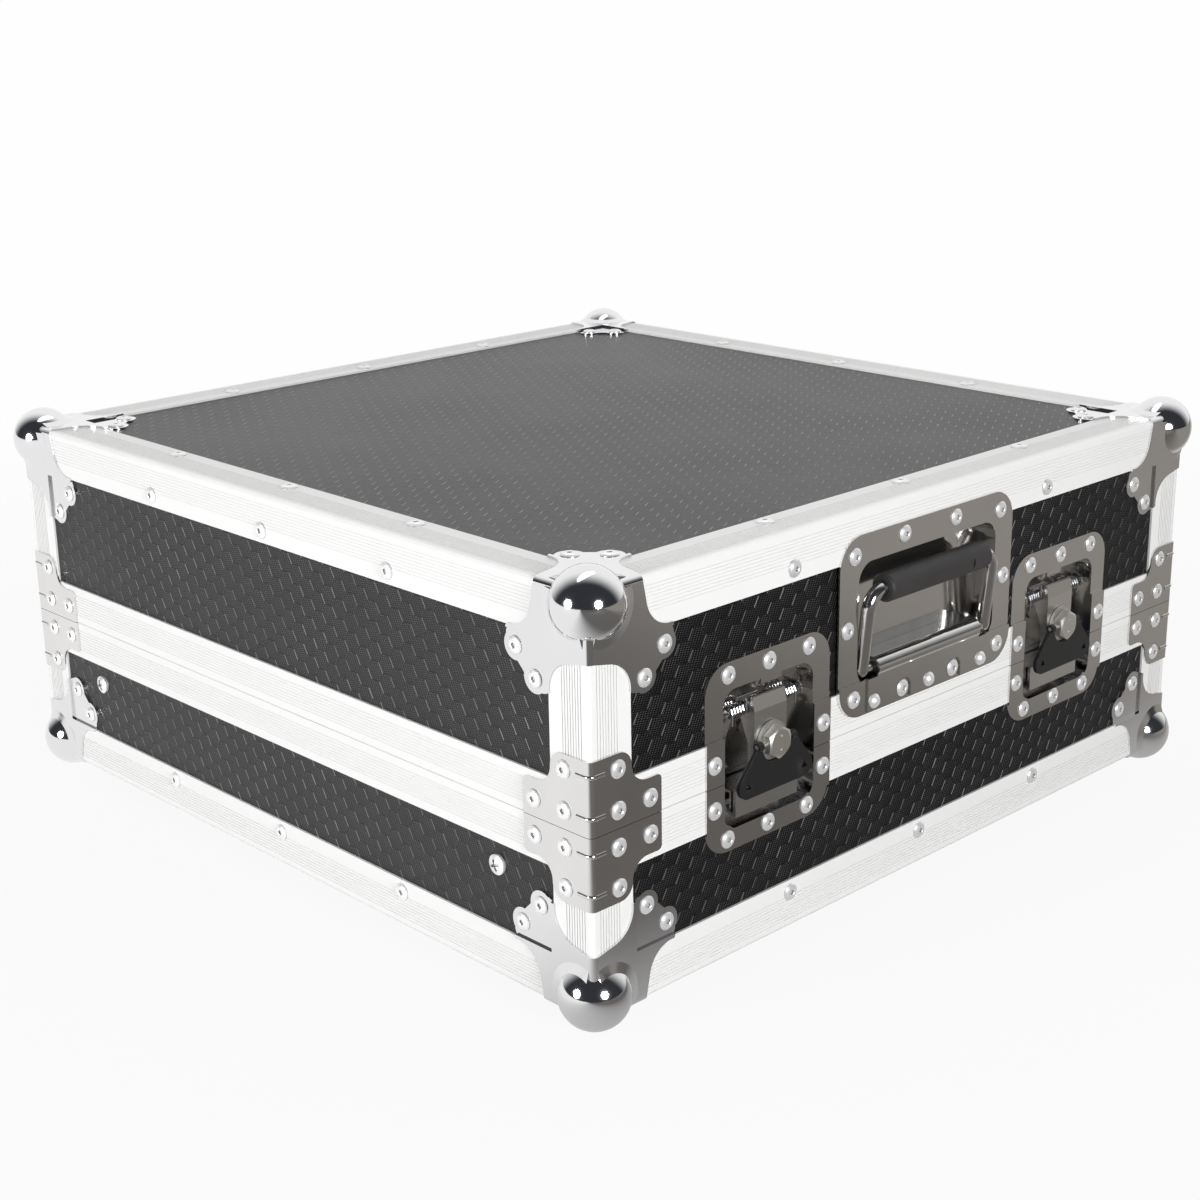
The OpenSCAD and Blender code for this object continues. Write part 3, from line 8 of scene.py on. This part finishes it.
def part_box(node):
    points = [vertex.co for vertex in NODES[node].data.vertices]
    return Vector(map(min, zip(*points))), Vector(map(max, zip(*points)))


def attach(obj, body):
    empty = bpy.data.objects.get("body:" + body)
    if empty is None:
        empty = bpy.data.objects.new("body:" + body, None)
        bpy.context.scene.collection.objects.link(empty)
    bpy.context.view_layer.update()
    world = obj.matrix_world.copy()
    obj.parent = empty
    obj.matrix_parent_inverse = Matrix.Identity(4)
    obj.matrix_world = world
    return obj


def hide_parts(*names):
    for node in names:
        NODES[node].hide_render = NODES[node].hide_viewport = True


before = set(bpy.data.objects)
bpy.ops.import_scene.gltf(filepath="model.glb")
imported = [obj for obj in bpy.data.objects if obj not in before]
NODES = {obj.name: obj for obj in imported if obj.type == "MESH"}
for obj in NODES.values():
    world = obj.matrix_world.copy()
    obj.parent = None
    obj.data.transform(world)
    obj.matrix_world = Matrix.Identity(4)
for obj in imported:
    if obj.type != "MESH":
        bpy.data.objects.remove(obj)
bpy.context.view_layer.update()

# Sizes are metres. The case stands on z = 0, its latches face -Y.
MM = 0.001


# Nodes of a shader tree

def add(tree, kind, inputs=None, **settings):
    """Adds a node, sets its settings, and links or sets its inputs."""
    node = tree.nodes.new(kind)
    for name, value in settings.items():
        setattr(node, name, value)
    for name, value in (inputs or {}).items():
        if isinstance(value, bpy.types.NodeSocket):
            tree.links.new(value, node.inputs[name])
        else:
            node.inputs[name].default_value = value
    return node


def maths(tree, operation, *values):
    """One scalar operation."""
    node = add(tree, "ShaderNodeMath", dict(enumerate(values)), operation=operation)
    return node.outputs[0]


def vectors(tree, operation, *values):
    """One vector operation; a length or a product comes back as a number."""
    node = add(tree, "ShaderNodeVectorMath", dict(enumerate(values)), operation=operation)
    return node.outputs["Value" if operation in ("LENGTH", "DOT_PRODUCT") else "Vector"]


def smooth_step(tree, value, low, high):
    """0 below low, 1 above high, and a smooth rise between them."""
    node = add(tree, "ShaderNodeMapRange",
               {"Value": value, "From Min": low, "From Max": high},
               interpolation_type="SMOOTHSTEP")
    return node.outputs["Result"]


def spread(tree, value, low, high):
    """Maps a value from 0..1 to low..high."""
    node = add(tree, "ShaderNodeMapRange", {"Value": value, "To Min": low, "To Max": high})
    return node.outputs["Result"]


def speckle(tree, place, scale, detail=3.0):
    """Noise from 0 to 1 at a place."""
    node = add(tree, "ShaderNodeTexNoise", {"Vector": place, "Scale": scale, "Detail": detail})
    return node.outputs["Fac"]


def blend_colour(tree, share, low, high):
    """Colour low where share is 0 and high where it is 1."""
    node = add(tree, "ShaderNodeMix", {"Factor": share}, data_type="RGBA")
    for socket, colour in ((node.inputs[6], low), (node.inputs[7], high)):
        if isinstance(colour, bpy.types.NodeSocket):
            tree.links.new(colour, socket)
        else:
            socket.default_value = (*colour, 1.0)
    return node.outputs[2]


def bump(tree, height, distance, normal=None):
    """Normal bent by a height in 0..1 that stands for distance metres."""
    inputs = {"Height": height, "Distance": distance}
    if normal is not None:
        inputs["Normal"] = normal
    return add(tree, "ShaderNodeBump", inputs).outputs["Normal"]


def empty_tree(owner):
    """Shader tree of a new material or world, with its nodes cleared."""
    owner.use_nodes = True
    owner.node_tree.nodes.clear()
    return owner.node_tree


def hollows(tree, reach, samples):
    """0 deep in a corner, 1 in the open, judged within reach; the materials use it to paint shade into
    hollows.
    """
    return add(tree, "ShaderNodeAmbientOcclusion", {"Distance": reach}, samples=samples).outputs["AO"]


def start_material(name):
    """New material with its tree, its shader and the place in the part's frame."""
    material = bpy.data.materials.new(name)
    tree = empty_tree(material)
    shader = add(tree, "ShaderNodeBsdfPrincipled")
    output = add(tree, "ShaderNodeOutputMaterial")
    tree.links.new(shader.outputs[0], output.inputs["Surface"])
    place = add(tree, "ShaderNodeTexCoord").outputs["Object"]
    return material, tree, shader, place


def wire(tree, shader, **sockets):
    """Links or sets the shader's sockets; a name's underscores stand for spaces."""
    for name, value in sockets.items():
        socket = shader.inputs[name.replace("_", " ")]
        if isinstance(value, bpy.types.NodeSocket):
            tree.links.new(value, socket)
        else:
            socket.default_value = value


# Materials

HEX_ACROSS = 12 * MM
HEX_SLANT = math.sqrt(3) / 2
RIB_PITCH = 2.0 * MM
RIB_LEAN = -0.35
RIDGE_HALF = 0.27 * MM
EMBOSS = 0.16 * MM
PATCH_SCALE = 9.0


def laminate(name, across, up, gloss=0.42):
    """Black laminate embossed with hexagons, each filled with fine ribs.

    The ridges that lean one way carry painted highlights as dashes, more in some patches than in others;
    the ribs carry a painted highlight and the ridges a faint painted sheen.
    """
    material, tree, shader, place = start_material(name)
    u = vectors(tree, "DOT_PRODUCT", place, across)
    v = vectors(tree, "DOT_PRODUCT", place, up)
    flat = add(tree, "ShaderNodeCombineXYZ", {"X": u, "Y": v}).outputs[0]
    half = (HEX_ACROSS * HEX_SLANT, HEX_ACROSS / 2, 1.0)
    back = tuple(-h for h in half)
    first = vectors(tree, "WRAP", flat, half, back)
    shifted = vectors(tree, "ADD", flat, (half[0], half[1], 0.0))
    second = vectors(tree, "WRAP", shifted, half, back)
    nearer = maths(tree, "LESS_THAN", vectors(tree, "LENGTH", second), vectors(tree, "LENGTH", first))
    pick = add(tree, "ShaderNodeMix", {"Factor": nearer}, data_type="VECTOR")
    tree.links.new(first, pick.inputs[4])
    tree.links.new(second, pick.inputs[5])
    cell = pick.outputs[1]
    size = vectors(tree, "ABSOLUTE", cell)
    to_slant = vectors(tree, "DOT_PRODUCT", size, (HEX_SLANT, 0.5, 0.0))
    to_flat = vectors(tree, "DOT_PRODUCT", size, (0.0, 1.0, 0.0))
    from_middle = maths(tree, "MAXIMUM", to_slant, to_flat)
    ridge = smooth_step(tree, from_middle, HEX_ACROSS / 2 - 2 * RIDGE_HALF, HEX_ACROSS / 2)
    axes = add(tree, "ShaderNodeSeparateXYZ", {0: cell})
    rising = maths(tree, "GREATER_THAN", maths(tree, "MULTIPLY", axes.outputs[0], axes.outputs[1]), 0.0)
    falling = maths(tree, "SUBTRACT", 1.0, rising)
    slanted = maths(tree, "GREATER_THAN", to_slant, to_flat)
    bright = maths(tree, "MULTIPLY", maths(tree, "MULTIPLY", ridge, slanted), falling)
    middle = vectors(tree, "SUBTRACT", flat, cell)
    hexagon = vectors(tree, "SNAP", middle, (MM, MM, MM))
    chance = add(tree, "ShaderNodeTexWhiteNoise", {"Vector": hexagon},
                 noise_dimensions="3D").outputs["Value"]
    turn = 2 * math.pi / RIB_PITCH
    lean = maths(tree, "MULTIPLY", u, RIB_LEAN)
    rows = maths(tree, "SINE", maths(tree, "MULTIPLY", maths(tree, "ADD", v, lean), turn))
    columns = maths(tree, "SINE", maths(tree, "MULTIPLY", maths(tree, "ADD", u, v), turn * 0.6))
    ribs = smooth_step(tree, maths(tree, "MULTIPLY", rows, columns), 0.20, 0.75)
    ribs = maths(tree, "MULTIPLY", ribs, maths(tree, "SUBTRACT", 1.0, ridge))
    # the ribs, their height and their painted highlight fade towards the lower side of each cell
    height_in_cell = vectors(tree, "DOT_PRODUCT", cell, (-0.5, 0.87, 0.0))
    fade = spread(tree, smooth_step(tree, height_in_cell, -5 * MM, 2 * MM), 0.45, 1.0)
    ribs = maths(tree, "MULTIPLY", ribs, fade)
    # slow noise: patches of roughness and patches of the painted highlight on the dashes
    sheen_and_roughness_patches = speckle(tree, place, PATCH_SCALE)
    # painted highlight: the ribs are painted lighter, as if they caught the light, more in some hexagons
    # than in others
    glint = maths(tree, "MULTIPLY", ribs, spread(tree, chance, 0.6, 1.0))
    base = blend_colour(tree, glint, (0.0015, 0.0015, 0.002), (0.078, 0.076, 0.079))
    # painted sheen: the ridges are painted a little lighter than the black between the ribs
    ridge_sheen = blend_colour(tree, maths(tree, "MULTIPLY", ridge, 0.35), base, (0.010, 0.010, 0.011))
    # painted highlight: ridges of one slant are painted as light dashes, patchy across the sheet
    patches = spread(tree, smooth_step(tree, sheen_and_roughness_patches, 0.38, 0.60), 0.45, 1.0)
    each = spread(tree, chance, 0.45, 0.95)
    shine = maths(tree, "MULTIPLY", bright, maths(tree, "MULTIPLY", patches, each))
    colour = blend_colour(tree, shine, ridge_sheen, (0.36, 0.355, 0.36))
    height = maths(tree, "ADD", ridge, maths(tree, "MULTIPLY", ribs, 0.7))
    wire(tree, shader, Base_Color=colour, Roughness=spread(tree, sheen_and_roughness_patches, 0.34, 0.44),
         Normal=bump(tree, height, EMBOSS))
    shader.inputs["Specular IOR Level"].default_value = gloss
    return material


def stretched_place(tree, place, upright):
    """Place flattened along the bar that the point belongs to, for lines drawn along it."""
    if upright:
        return vectors(tree, "MULTIPLY", place, (1.0, 1.0, 0.0))
    axes = add(tree, "ShaderNodeSeparateXYZ", {0: place})
    x = maths(tree, "ABSOLUTE", axes.outputs[0])
    y = maths(tree, "ABSOLUTE", axes.outputs[1])
    along_x = maths(tree, "GREATER_THAN", y, x)
    pick = add(tree, "ShaderNodeMix", {"Factor": along_x}, data_type="VECTOR")
    tree.links.new(vectors(tree, "MULTIPLY", place, (1.0, 0.0, 1.0)), pick.inputs[4])
    tree.links.new(vectors(tree, "MULTIPLY", place, (0.0, 1.0, 1.0)), pick.inputs[5])
    return pick.outputs[1]


def extrusion(name, upright=False):
    """Satin anodised aluminium with faint die lines along each bar and painted shade in its flutes."""
    material, tree, shader, place = start_material(name)
    along = stretched_place(tree, place, upright)
    lines = speckle(tree, along, 2600.0, 1.0)
    clouds = speckle(tree, place, 14.0)
    grain = speckle(tree, place, 2600.0, 2.0)
    tone = maths(tree, "MULTIPLY_ADD", lines, 0.4, maths(tree, "MULTIPLY", clouds, 0.6))
    unshaded_colour = blend_colour(tree, tone, (0.88, 0.88, 0.87), (0.93, 0.93, 0.92))
    # painted shade: flutes and other hollows are painted darker, more on the posts than on the bars
    shaded = smooth_step(tree, hollows(tree, 0.9 * MM, 6), 0.25, 0.85)
    groove_shade = (0.60, 0.60, 0.59) if upright else (0.72, 0.72, 0.71)
    colour = blend_colour(tree, shaded, groove_shade, unshaded_colour)
    rough = maths(tree, "ADD", spread(tree, lines, 0.34, 0.42), spread(tree, grain, -0.02, 0.02))
    wire(tree, shader, Base_Color=colour, Roughness=rough, Normal=bump(tree, lines, 0.001 * MM))
    shader.inputs["Metallic"].default_value = 0.12
    return material


def plated(name, dark, light, rough, ripple=0.0, shade_reach=0.9 * MM, clear=0.6, metallic=1.0):
    """Bright plate: fine scratches, fingermarks, painted shade in its hollows, and a slow ripple."""
    material, tree, shader, place = start_material(name)
    clouds = speckle(tree, place, 22.0)
    scratch = speckle(tree, vectors(tree, "MULTIPLY", place, (1.0, 1.0, 0.06)), 1400.0, 2.0)
    waves = speckle(tree, place, 60.0, 1.0)
    # painted shade: hollows within the given reach are painted towards near black, and clear sets how
    # open a place must be to stay unshaded
    hollow = hollows(tree, shade_reach, 4)
    unshaded_colour = blend_colour(tree, clouds, dark, light)
    colour = blend_colour(tree, smooth_step(tree, hollow, 0.05, clear), (0.04, 0.04, 0.04), unshaded_colour)
    marks = maths(tree, "MULTIPLY", clouds, scratch)
    wire(tree, shader, Base_Color=colour, Roughness=spread(tree, marks, rough, rough + 0.12))
    bent = bump(tree, waves, max(ripple, 0.001) * MM)
    wire(tree, shader, Normal=bump(tree, scratch, 0.003 * MM, bent))
    shader.inputs["Metallic"].default_value = metallic
    return material


def black_paint(name):
    """Satin black coating with a fine orange peel and lighter rubbed spots."""
    material, tree, shader, place = start_material(name)
    peel = speckle(tree, place, 900.0)
    rub = smooth_step(tree, speckle(tree, place, 70.0, 5.0), 0.62, 0.78)
    colour = blend_colour(tree, rub, (0.012, 0.012, 0.013), (0.040, 0.039, 0.038))
    edge = add(tree, "ShaderNodeBevel", {"Radius": 0.4 * MM}, samples=4).outputs["Normal"]
    wire(tree, shader, Base_Color=colour, Roughness=spread(tree, peel, 0.30, 0.42),
         Normal=bump(tree, peel, 0.02 * MM, edge))
    shader.inputs["Specular IOR Level"].default_value = 0.5
    return material


def rubber(name, dark, light):
    """Moulded rubber with a fine matt skin and painted shade in its hollows."""
    material, tree, shader, place = start_material(name)
    skin = speckle(tree, place, 1500.0)
    clouds = speckle(tree, place, 35.0)
    # painted shade: hollows are painted near black
    hollow = hollows(tree, 2.0 * MM, 6)
    unshaded_colour = blend_colour(tree, clouds, dark, light)
    colour = blend_colour(tree, smooth_step(tree, hollow, 0.35, 0.95), (0.004, 0.004, 0.004), unshaded_colour)
    wire(tree, shader, Base_Color=colour,
         Roughness=spread(tree, skin, 0.45, 0.62), Normal=bump(tree, skin, 0.06 * MM))
    shader.inputs["Specular IOR Level"].default_value = 0.45
    return material


def foam_skin(name):
    """Charcoal open-cell foam: small pores painted dark as painted shade, under a slow unevenness."""
    material, tree, shader, place = start_material(name)
    pores = add(tree, "ShaderNodeTexVoronoi", {"Vector": place, "Scale": 750.0}).outputs["Distance"]
    clouds = speckle(tree, place, 12.0)
    # painted shade: the pores are painted near black
    open_cell = smooth_step(tree, pores, 0.15, 0.6)
    clouded = blend_colour(tree, clouds, (0.030, 0.030, 0.033), (0.052, 0.052, 0.056))
    colour = blend_colour(tree, open_cell, (0.012, 0.012, 0.013), clouded)
    wire(tree, shader, Base_Color=colour, Roughness=spread(tree, clouds, 0.88, 1.0),
         Normal=bump(tree, pores, 0.5 * MM))
    shader.inputs["Specular IOR Level"].default_value = 0.2
    shader.inputs["Sheen Weight"].default_value = 0.15
    return material


def plywood(name):
    """Bare birch plywood: grain along the batten and darker glue lines across its height."""
    material, tree, shader, place = start_material(name)
    grain = speckle(tree, vectors(tree, "MULTIPLY", place, (1.0, 0.04, 1.0)), 700.0, 4.0)
    axes = add(tree, "ShaderNodeSeparateXYZ", {0: place})
    layers = maths(tree, "SINE", maths(tree, "MULTIPLY", axes.outputs[0], 2 * math.pi / (1.4 * MM)))
    glue = smooth_step(tree, layers, 0.75, 1.0)
    wood = blend_colour(tree, grain, (0.50, 0.34, 0.18), (0.72, 0.54, 0.33))
    colour = blend_colour(tree, maths(tree, "MULTIPLY", glue, 0.6), wood, (0.26, 0.15, 0.07))
    wire(tree, shader, Base_Color=colour, Roughness=spread(tree, grain, 0.55, 0.75),
         Normal=bump(tree, grain, 0.05 * MM))
    return material


X_AXIS = (1.0, 0.0, 0.0)
Y_AXIS = (0.0, 1.0, 0.0)
Z_AXIS = (0.0, 0.0, 1.0)
FRONT_LAMINATE = laminate("laminate_front", X_AXIS, Z_AXIS, gloss=0.24)
SIDE_LAMINATE = laminate("laminate_side", Y_AXIS, Z_AXIS)
FLAT_LAMINATE = laminate("laminate_flat", Y_AXIS, X_AXIS)
BARS = extrusion("extrusion_bars")
POSTS = extrusion("extrusion_posts", upright=True)
# The last numbers of some plates set how far and how deep painted shade goes into their hollows, such as
# rivet eyes and the gaps between spring coils
PRESSED = plated("pressed_steel", (0.72, 0.71, 0.70), (0.83, 0.82, 0.81), 0.08, ripple=0.12)
BRACE = plated("brace_steel", (0.72, 0.71, 0.70), (0.83, 0.82, 0.81), 0.17, ripple=0.12,
               shade_reach=1.2 * MM, clear=0.55)
DOMED = plated("domed_steel", (0.76, 0.76, 0.77), (0.86, 0.86, 0.87), 0.05, ripple=0.05)
SATIN = plated("satin_steel", (0.74, 0.73, 0.71), (0.85, 0.84, 0.82), 0.20, ripple=0.10)
RIVET = plated("rivet_steel", (0.88, 0.88, 0.885), (0.95, 0.95, 0.955), 0.34, shade_reach=2.0 * MM, clear=0.95,
               metallic=0.6)
SPRING = plated("spring_steel", (0.42, 0.42, 0.43), (0.55, 0.55, 0.56), 0.24, shade_reach=1.5 * MM, clear=0.95)
KEY = plated("key_metal", (0.82, 0.80, 0.75), (0.92, 0.90, 0.85), 0.34, ripple=0.10)
WING = black_paint("wing_black")
GRIP = rubber("grip_rubber", (0.024, 0.0225, 0.0225), (0.046, 0.043, 0.043))
FEET = rubber("foot_rubber", (0.012, 0.012, 0.012), (0.024, 0.024, 0.024))
FOAM = foam_skin("foam")
WOOD = plywood("batten_plywood")


def dress(material, *words):
    """Gives the material to each CAD node whose name holds one of the words."""
    for name, node in NODES.items():
        if any(word in name for word in words):
            node.data.materials.clear()
            node.data.materials.append(material)


dress(PRESSED, "dish", "cover", "bail", "pins", "leaves", "plate")
dress(BRACE, "braces")
dress(SATIN, "arm", "tongue")
dress(DOMED, "ball_corners")
dress(FRONT_LAMINATE, "front_panel", "back_panel")
dress(SIDE_LAMINATE, "left_panel", "right_panel")
dress(FLAT_LAMINATE, "top_panel", "bottom_panel")
dress(BARS, "top_edging", "bottom_edging", "rim_extrusion", "rack_rail")
dress(POSTS, "corner_edging")
dress(RIVET, "rivets", "screws", "nuts")
dress(SPRING, "springs")
dress(KEY, "latch_key")
dress(WING, "latch_wing")
dress(GRIP, "handle_grip")
dress(FEET, "rubber_feet")
dress(WOOD, "batten")


# Foam pads

PAD_CORNER = 12 * MM
PAD_EDGE = 5 * MM
PAD_VOXEL = 3.5 * MM
PAD_WAVE = 0.9 * MM


def foam_pad(node, body, open_face, seed):
    """Foam slab in the node's own space: rounded edges, a slow crown and a soft unevenness."""
    low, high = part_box(node)
    span = high - low
    edge = min(PAD_EDGE, span.z / 3)
    mesh = bmesh.new()
    bmesh.ops.create_cube(mesh, size=1.0)
    fitted = Matrix.Translation((low + high) / 2) @ Matrix.Diagonal((*span, 1.0))
    bmesh.ops.transform(mesh, matrix=fitted, verts=mesh.verts)
    upright = [e for e in mesh.edges if abs(e.verts[0].co.z - e.verts[1].co.z) > span.z / 2]
    bmesh.ops.bevel(mesh, geom=upright, offset=PAD_CORNER, segments=5, affect="EDGES", profile=0.5)
    level = [e for e in mesh.edges if all(abs(v.co.z - open_face(low, high)) < 1e-6 for v in e.verts)
             and len(e.link_faces) == 2 and any(abs(f.normal.z) < 0.5 for f in e.link_faces)]
    bmesh.ops.bevel(mesh, geom=level, offset=edge, segments=4, affect="EDGES", profile=0.5)
    data = bpy.data.meshes.new(node + "_soft")
    mesh.to_mesh(data)
    mesh.free()
    piece = bpy.data.objects.new(node + "_soft", data)
    bpy.context.scene.collection.objects.link(piece)
    remesh = piece.modifiers.new("even", "REMESH")
    remesh.mode = "VOXEL"
    remesh.voxel_size = PAD_VOXEL
    bpy.context.view_layer.objects.active = piece
    bpy.ops.object.select_all(action="DESELECT")
    piece.select_set(True)
    bpy.ops.object.modifier_apply(modifier="even")
    sinks = -1.0 if open_face(low, high) > low.z else 1.0
    for vertex in piece.data.vertices:
        slow = noise.noise(Vector((vertex.co.x * 9, vertex.co.y * 9, seed)))
        fast = noise.noise(Vector((vertex.co.x * 60, vertex.co.y * 60, vertex.co.z * 60 + seed)))
        share = (vertex.co.z - low.z) / span.z
        share = share if sinks < 0 else 1 - share
        vertex.co.z += sinks * share * PAD_WAVE * (1 + slow + 0.3 * fast)
    for polygon in piece.data.polygons:
        polygon.use_smooth = True
    piece.data.materials.append(FOAM)
    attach(piece, body)
    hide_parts(node)


foam_pad("base_foam", "base", lambda low, high: high.z, 3.0)
foam_pad("lid_foam", "lid", lambda low, high: low.z, 8.0)


# Floor, light and camera

FLOOR_REACH = 60.0
CAMERA_PLACE = (-0.9330, -0.9797, 0.5568)
CAMERA_YAW = 46.408
CAMERA_PITCH = -17.789
CAMERA_ROLL = -0.954
CAMERA_LENS = 60.53
CAMERA_SENSOR = 36.0


def floor():
    """Wide pale floor, near white to the camera.

    Metal sees a painted reflection on it: white towards the key lamp and dim towards the front right.
    """
    mesh = bmesh.new()
    bmesh.ops.create_grid(mesh, x_segments=1, y_segments=1, size=FLOOR_REACH)
    data = bpy.data.meshes.new("floor")
    mesh.to_mesh(data)
    mesh.free()
    plane = bpy.data.objects.new("floor", data)
    bpy.context.scene.collection.objects.link(plane)
    material = bpy.data.materials.new("floor_paper")
    tree = empty_tree(material)
    paper = add(tree, "ShaderNodeBsdfDiffuse", {"Color": (0.50, 0.50, 0.50, 1.0)})
    white = add(tree, "ShaderNodeEmission", {"Color": (1.0, 1.0, 1.0, 1.0), "Strength": 1.0})
    path = add(tree, "ShaderNodeLightPath").outputs
    place = add(tree, "ShaderNodeTexCoord").outputs["Object"]
    far = smooth_step(tree, vectors(tree, "LENGTH", place), 0.3, 1.6)
    mirrored = maths(tree, "MAXIMUM", path["Is Glossy Ray"], path["Is Transmission Ray"])
    direct = maths(tree, "MULTIPLY", path["Is Camera Ray"], spread(tree, far, 0.92, 0.99))
    seen = maths(tree, "MAXIMUM", direct, maths(tree, "MULTIPLY", mirrored, 0.95))
    # painted reflection: metal sees the floor painted dim towards the front right and away from the key
    # lamp, white elsewhere
    towards_key = vectors(tree, "DOT_PRODUCT", place, (-0.45, 0.89, 0.0))
    axes = add(tree, "ShaderNodeSeparateXYZ", {0: place})
    front = maths(tree, "MULTIPLY", smooth_step(tree, axes.outputs[1], -0.40, -0.25), 0.42)
    falloff = maths(tree, "MAXIMUM", smooth_step(tree, towards_key, -0.30, 0.06), front)
    dark_side = blend_colour(tree, smooth_step(tree, axes.outputs[0], 0.05, 0.55),
                             (0.125, 0.117, 0.108), (0.29, 0.272, 0.25))
    painted_reflection = blend_colour(tree, falloff, dark_side, (1.0, 1.0, 1.0))
    shade = blend_colour(tree, path["Is Camera Ray"], painted_reflection, (1.0, 1.0, 1.0))
    tree.links.new(shade, white.inputs["Color"])
    mix = add(tree, "ShaderNodeMixShader", {0: seen})
    tree.links.new(paper.outputs[0], mix.inputs[1])
    tree.links.new(white.outputs[0], mix.inputs[2])
    output = add(tree, "ShaderNodeOutputMaterial")
    tree.links.new(mix.outputs[0], output.inputs["Surface"])
    data.materials.append(material)


def surround():
    """Studio round the case: pale towards the backdrop and overhead, darker behind the camera."""
    world = bpy.data.worlds.new("studio")
    bpy.context.scene.world = world
    tree = empty_tree(world)
    direction = add(tree, "ShaderNodeTexCoord").outputs["Generated"]
    towards = vectors(tree, "DOT_PRODUCT", direction, (0.70, 0.62, 0.35))
    lit = smooth_step(tree, towards, 0.05, 0.80)
    studio = blend_colour(tree, lit, (0.035, 0.037, 0.043), (1.0, 1.0, 0.995))
    seen = add(tree, "ShaderNodeLightPath").outputs["Is Camera Ray"]
    colour = blend_colour(tree, seen, studio, (1.0, 1.0, 1.0))
    back = add(tree, "ShaderNodeBackground", {"Color": colour, "Strength": 1.0})
    output = add(tree, "ShaderNodeOutputWorld")
    tree.links.new(back.outputs[0], output.inputs["Surface"])


def softbox(name, place, aim, width, height, power):
    """Oval soft lamp that faces aim."""
    data = bpy.data.lights.new(name, "AREA")
    data.shape = "ELLIPSE"
    data.size = width
    data.size_y = height
    data.energy = power
    lamp = bpy.data.objects.new(name, data)
    bpy.context.scene.collection.objects.link(lamp)
    lamp.location = place
    lamp.rotation_euler = (Vector(aim) - Vector(place)).to_track_quat("-Z", "Y").to_euler()


def camera():
    """Camera at the photograph's place, turned by yaw, pitch and roll."""
    yaw, pitch, roll = (math.radians(a) for a in (CAMERA_YAW, CAMERA_PITCH, CAMERA_ROLL))
    forward = Vector((math.cos(pitch) * math.cos(yaw), math.cos(pitch) * math.sin(yaw), math.sin(pitch)))
    level = Vector((math.sin(yaw), -math.cos(yaw), 0.0))
    upward = level.cross(forward)
    right = level * math.cos(roll) + upward * math.sin(roll)
    up = upward * math.cos(roll) - level * math.sin(roll)
    data = bpy.data.cameras.new("view")
    data.sensor_width = CAMERA_SENSOR
    data.lens = CAMERA_LENS
    view = bpy.data.objects.new("view", data)
    bpy.context.scene.collection.objects.link(view)
    turn = Matrix((right, up, -forward)).transposed().to_4x4()
    view.matrix_world = Matrix.Translation(CAMERA_PLACE) @ turn
    bpy.context.scene.camera = view


floor()
surround()
MIDDLE = (0.0, 0.0, 0.12)
softbox("key_left", (-2.5, 0.2, 0.60), MIDDLE, 0.9, 0.9, 38.0)
softbox("overhead", (0.0, 0.2, 2.2), MIDDLE, 1.9, 0.6, 4.0)
softbox("front_fill", (-0.7, -2.4, 0.70), MIDDLE, 0.8, 0.8, 47.0)
camera()
bpy.context.scene.view_settings.view_transform = "Standard"
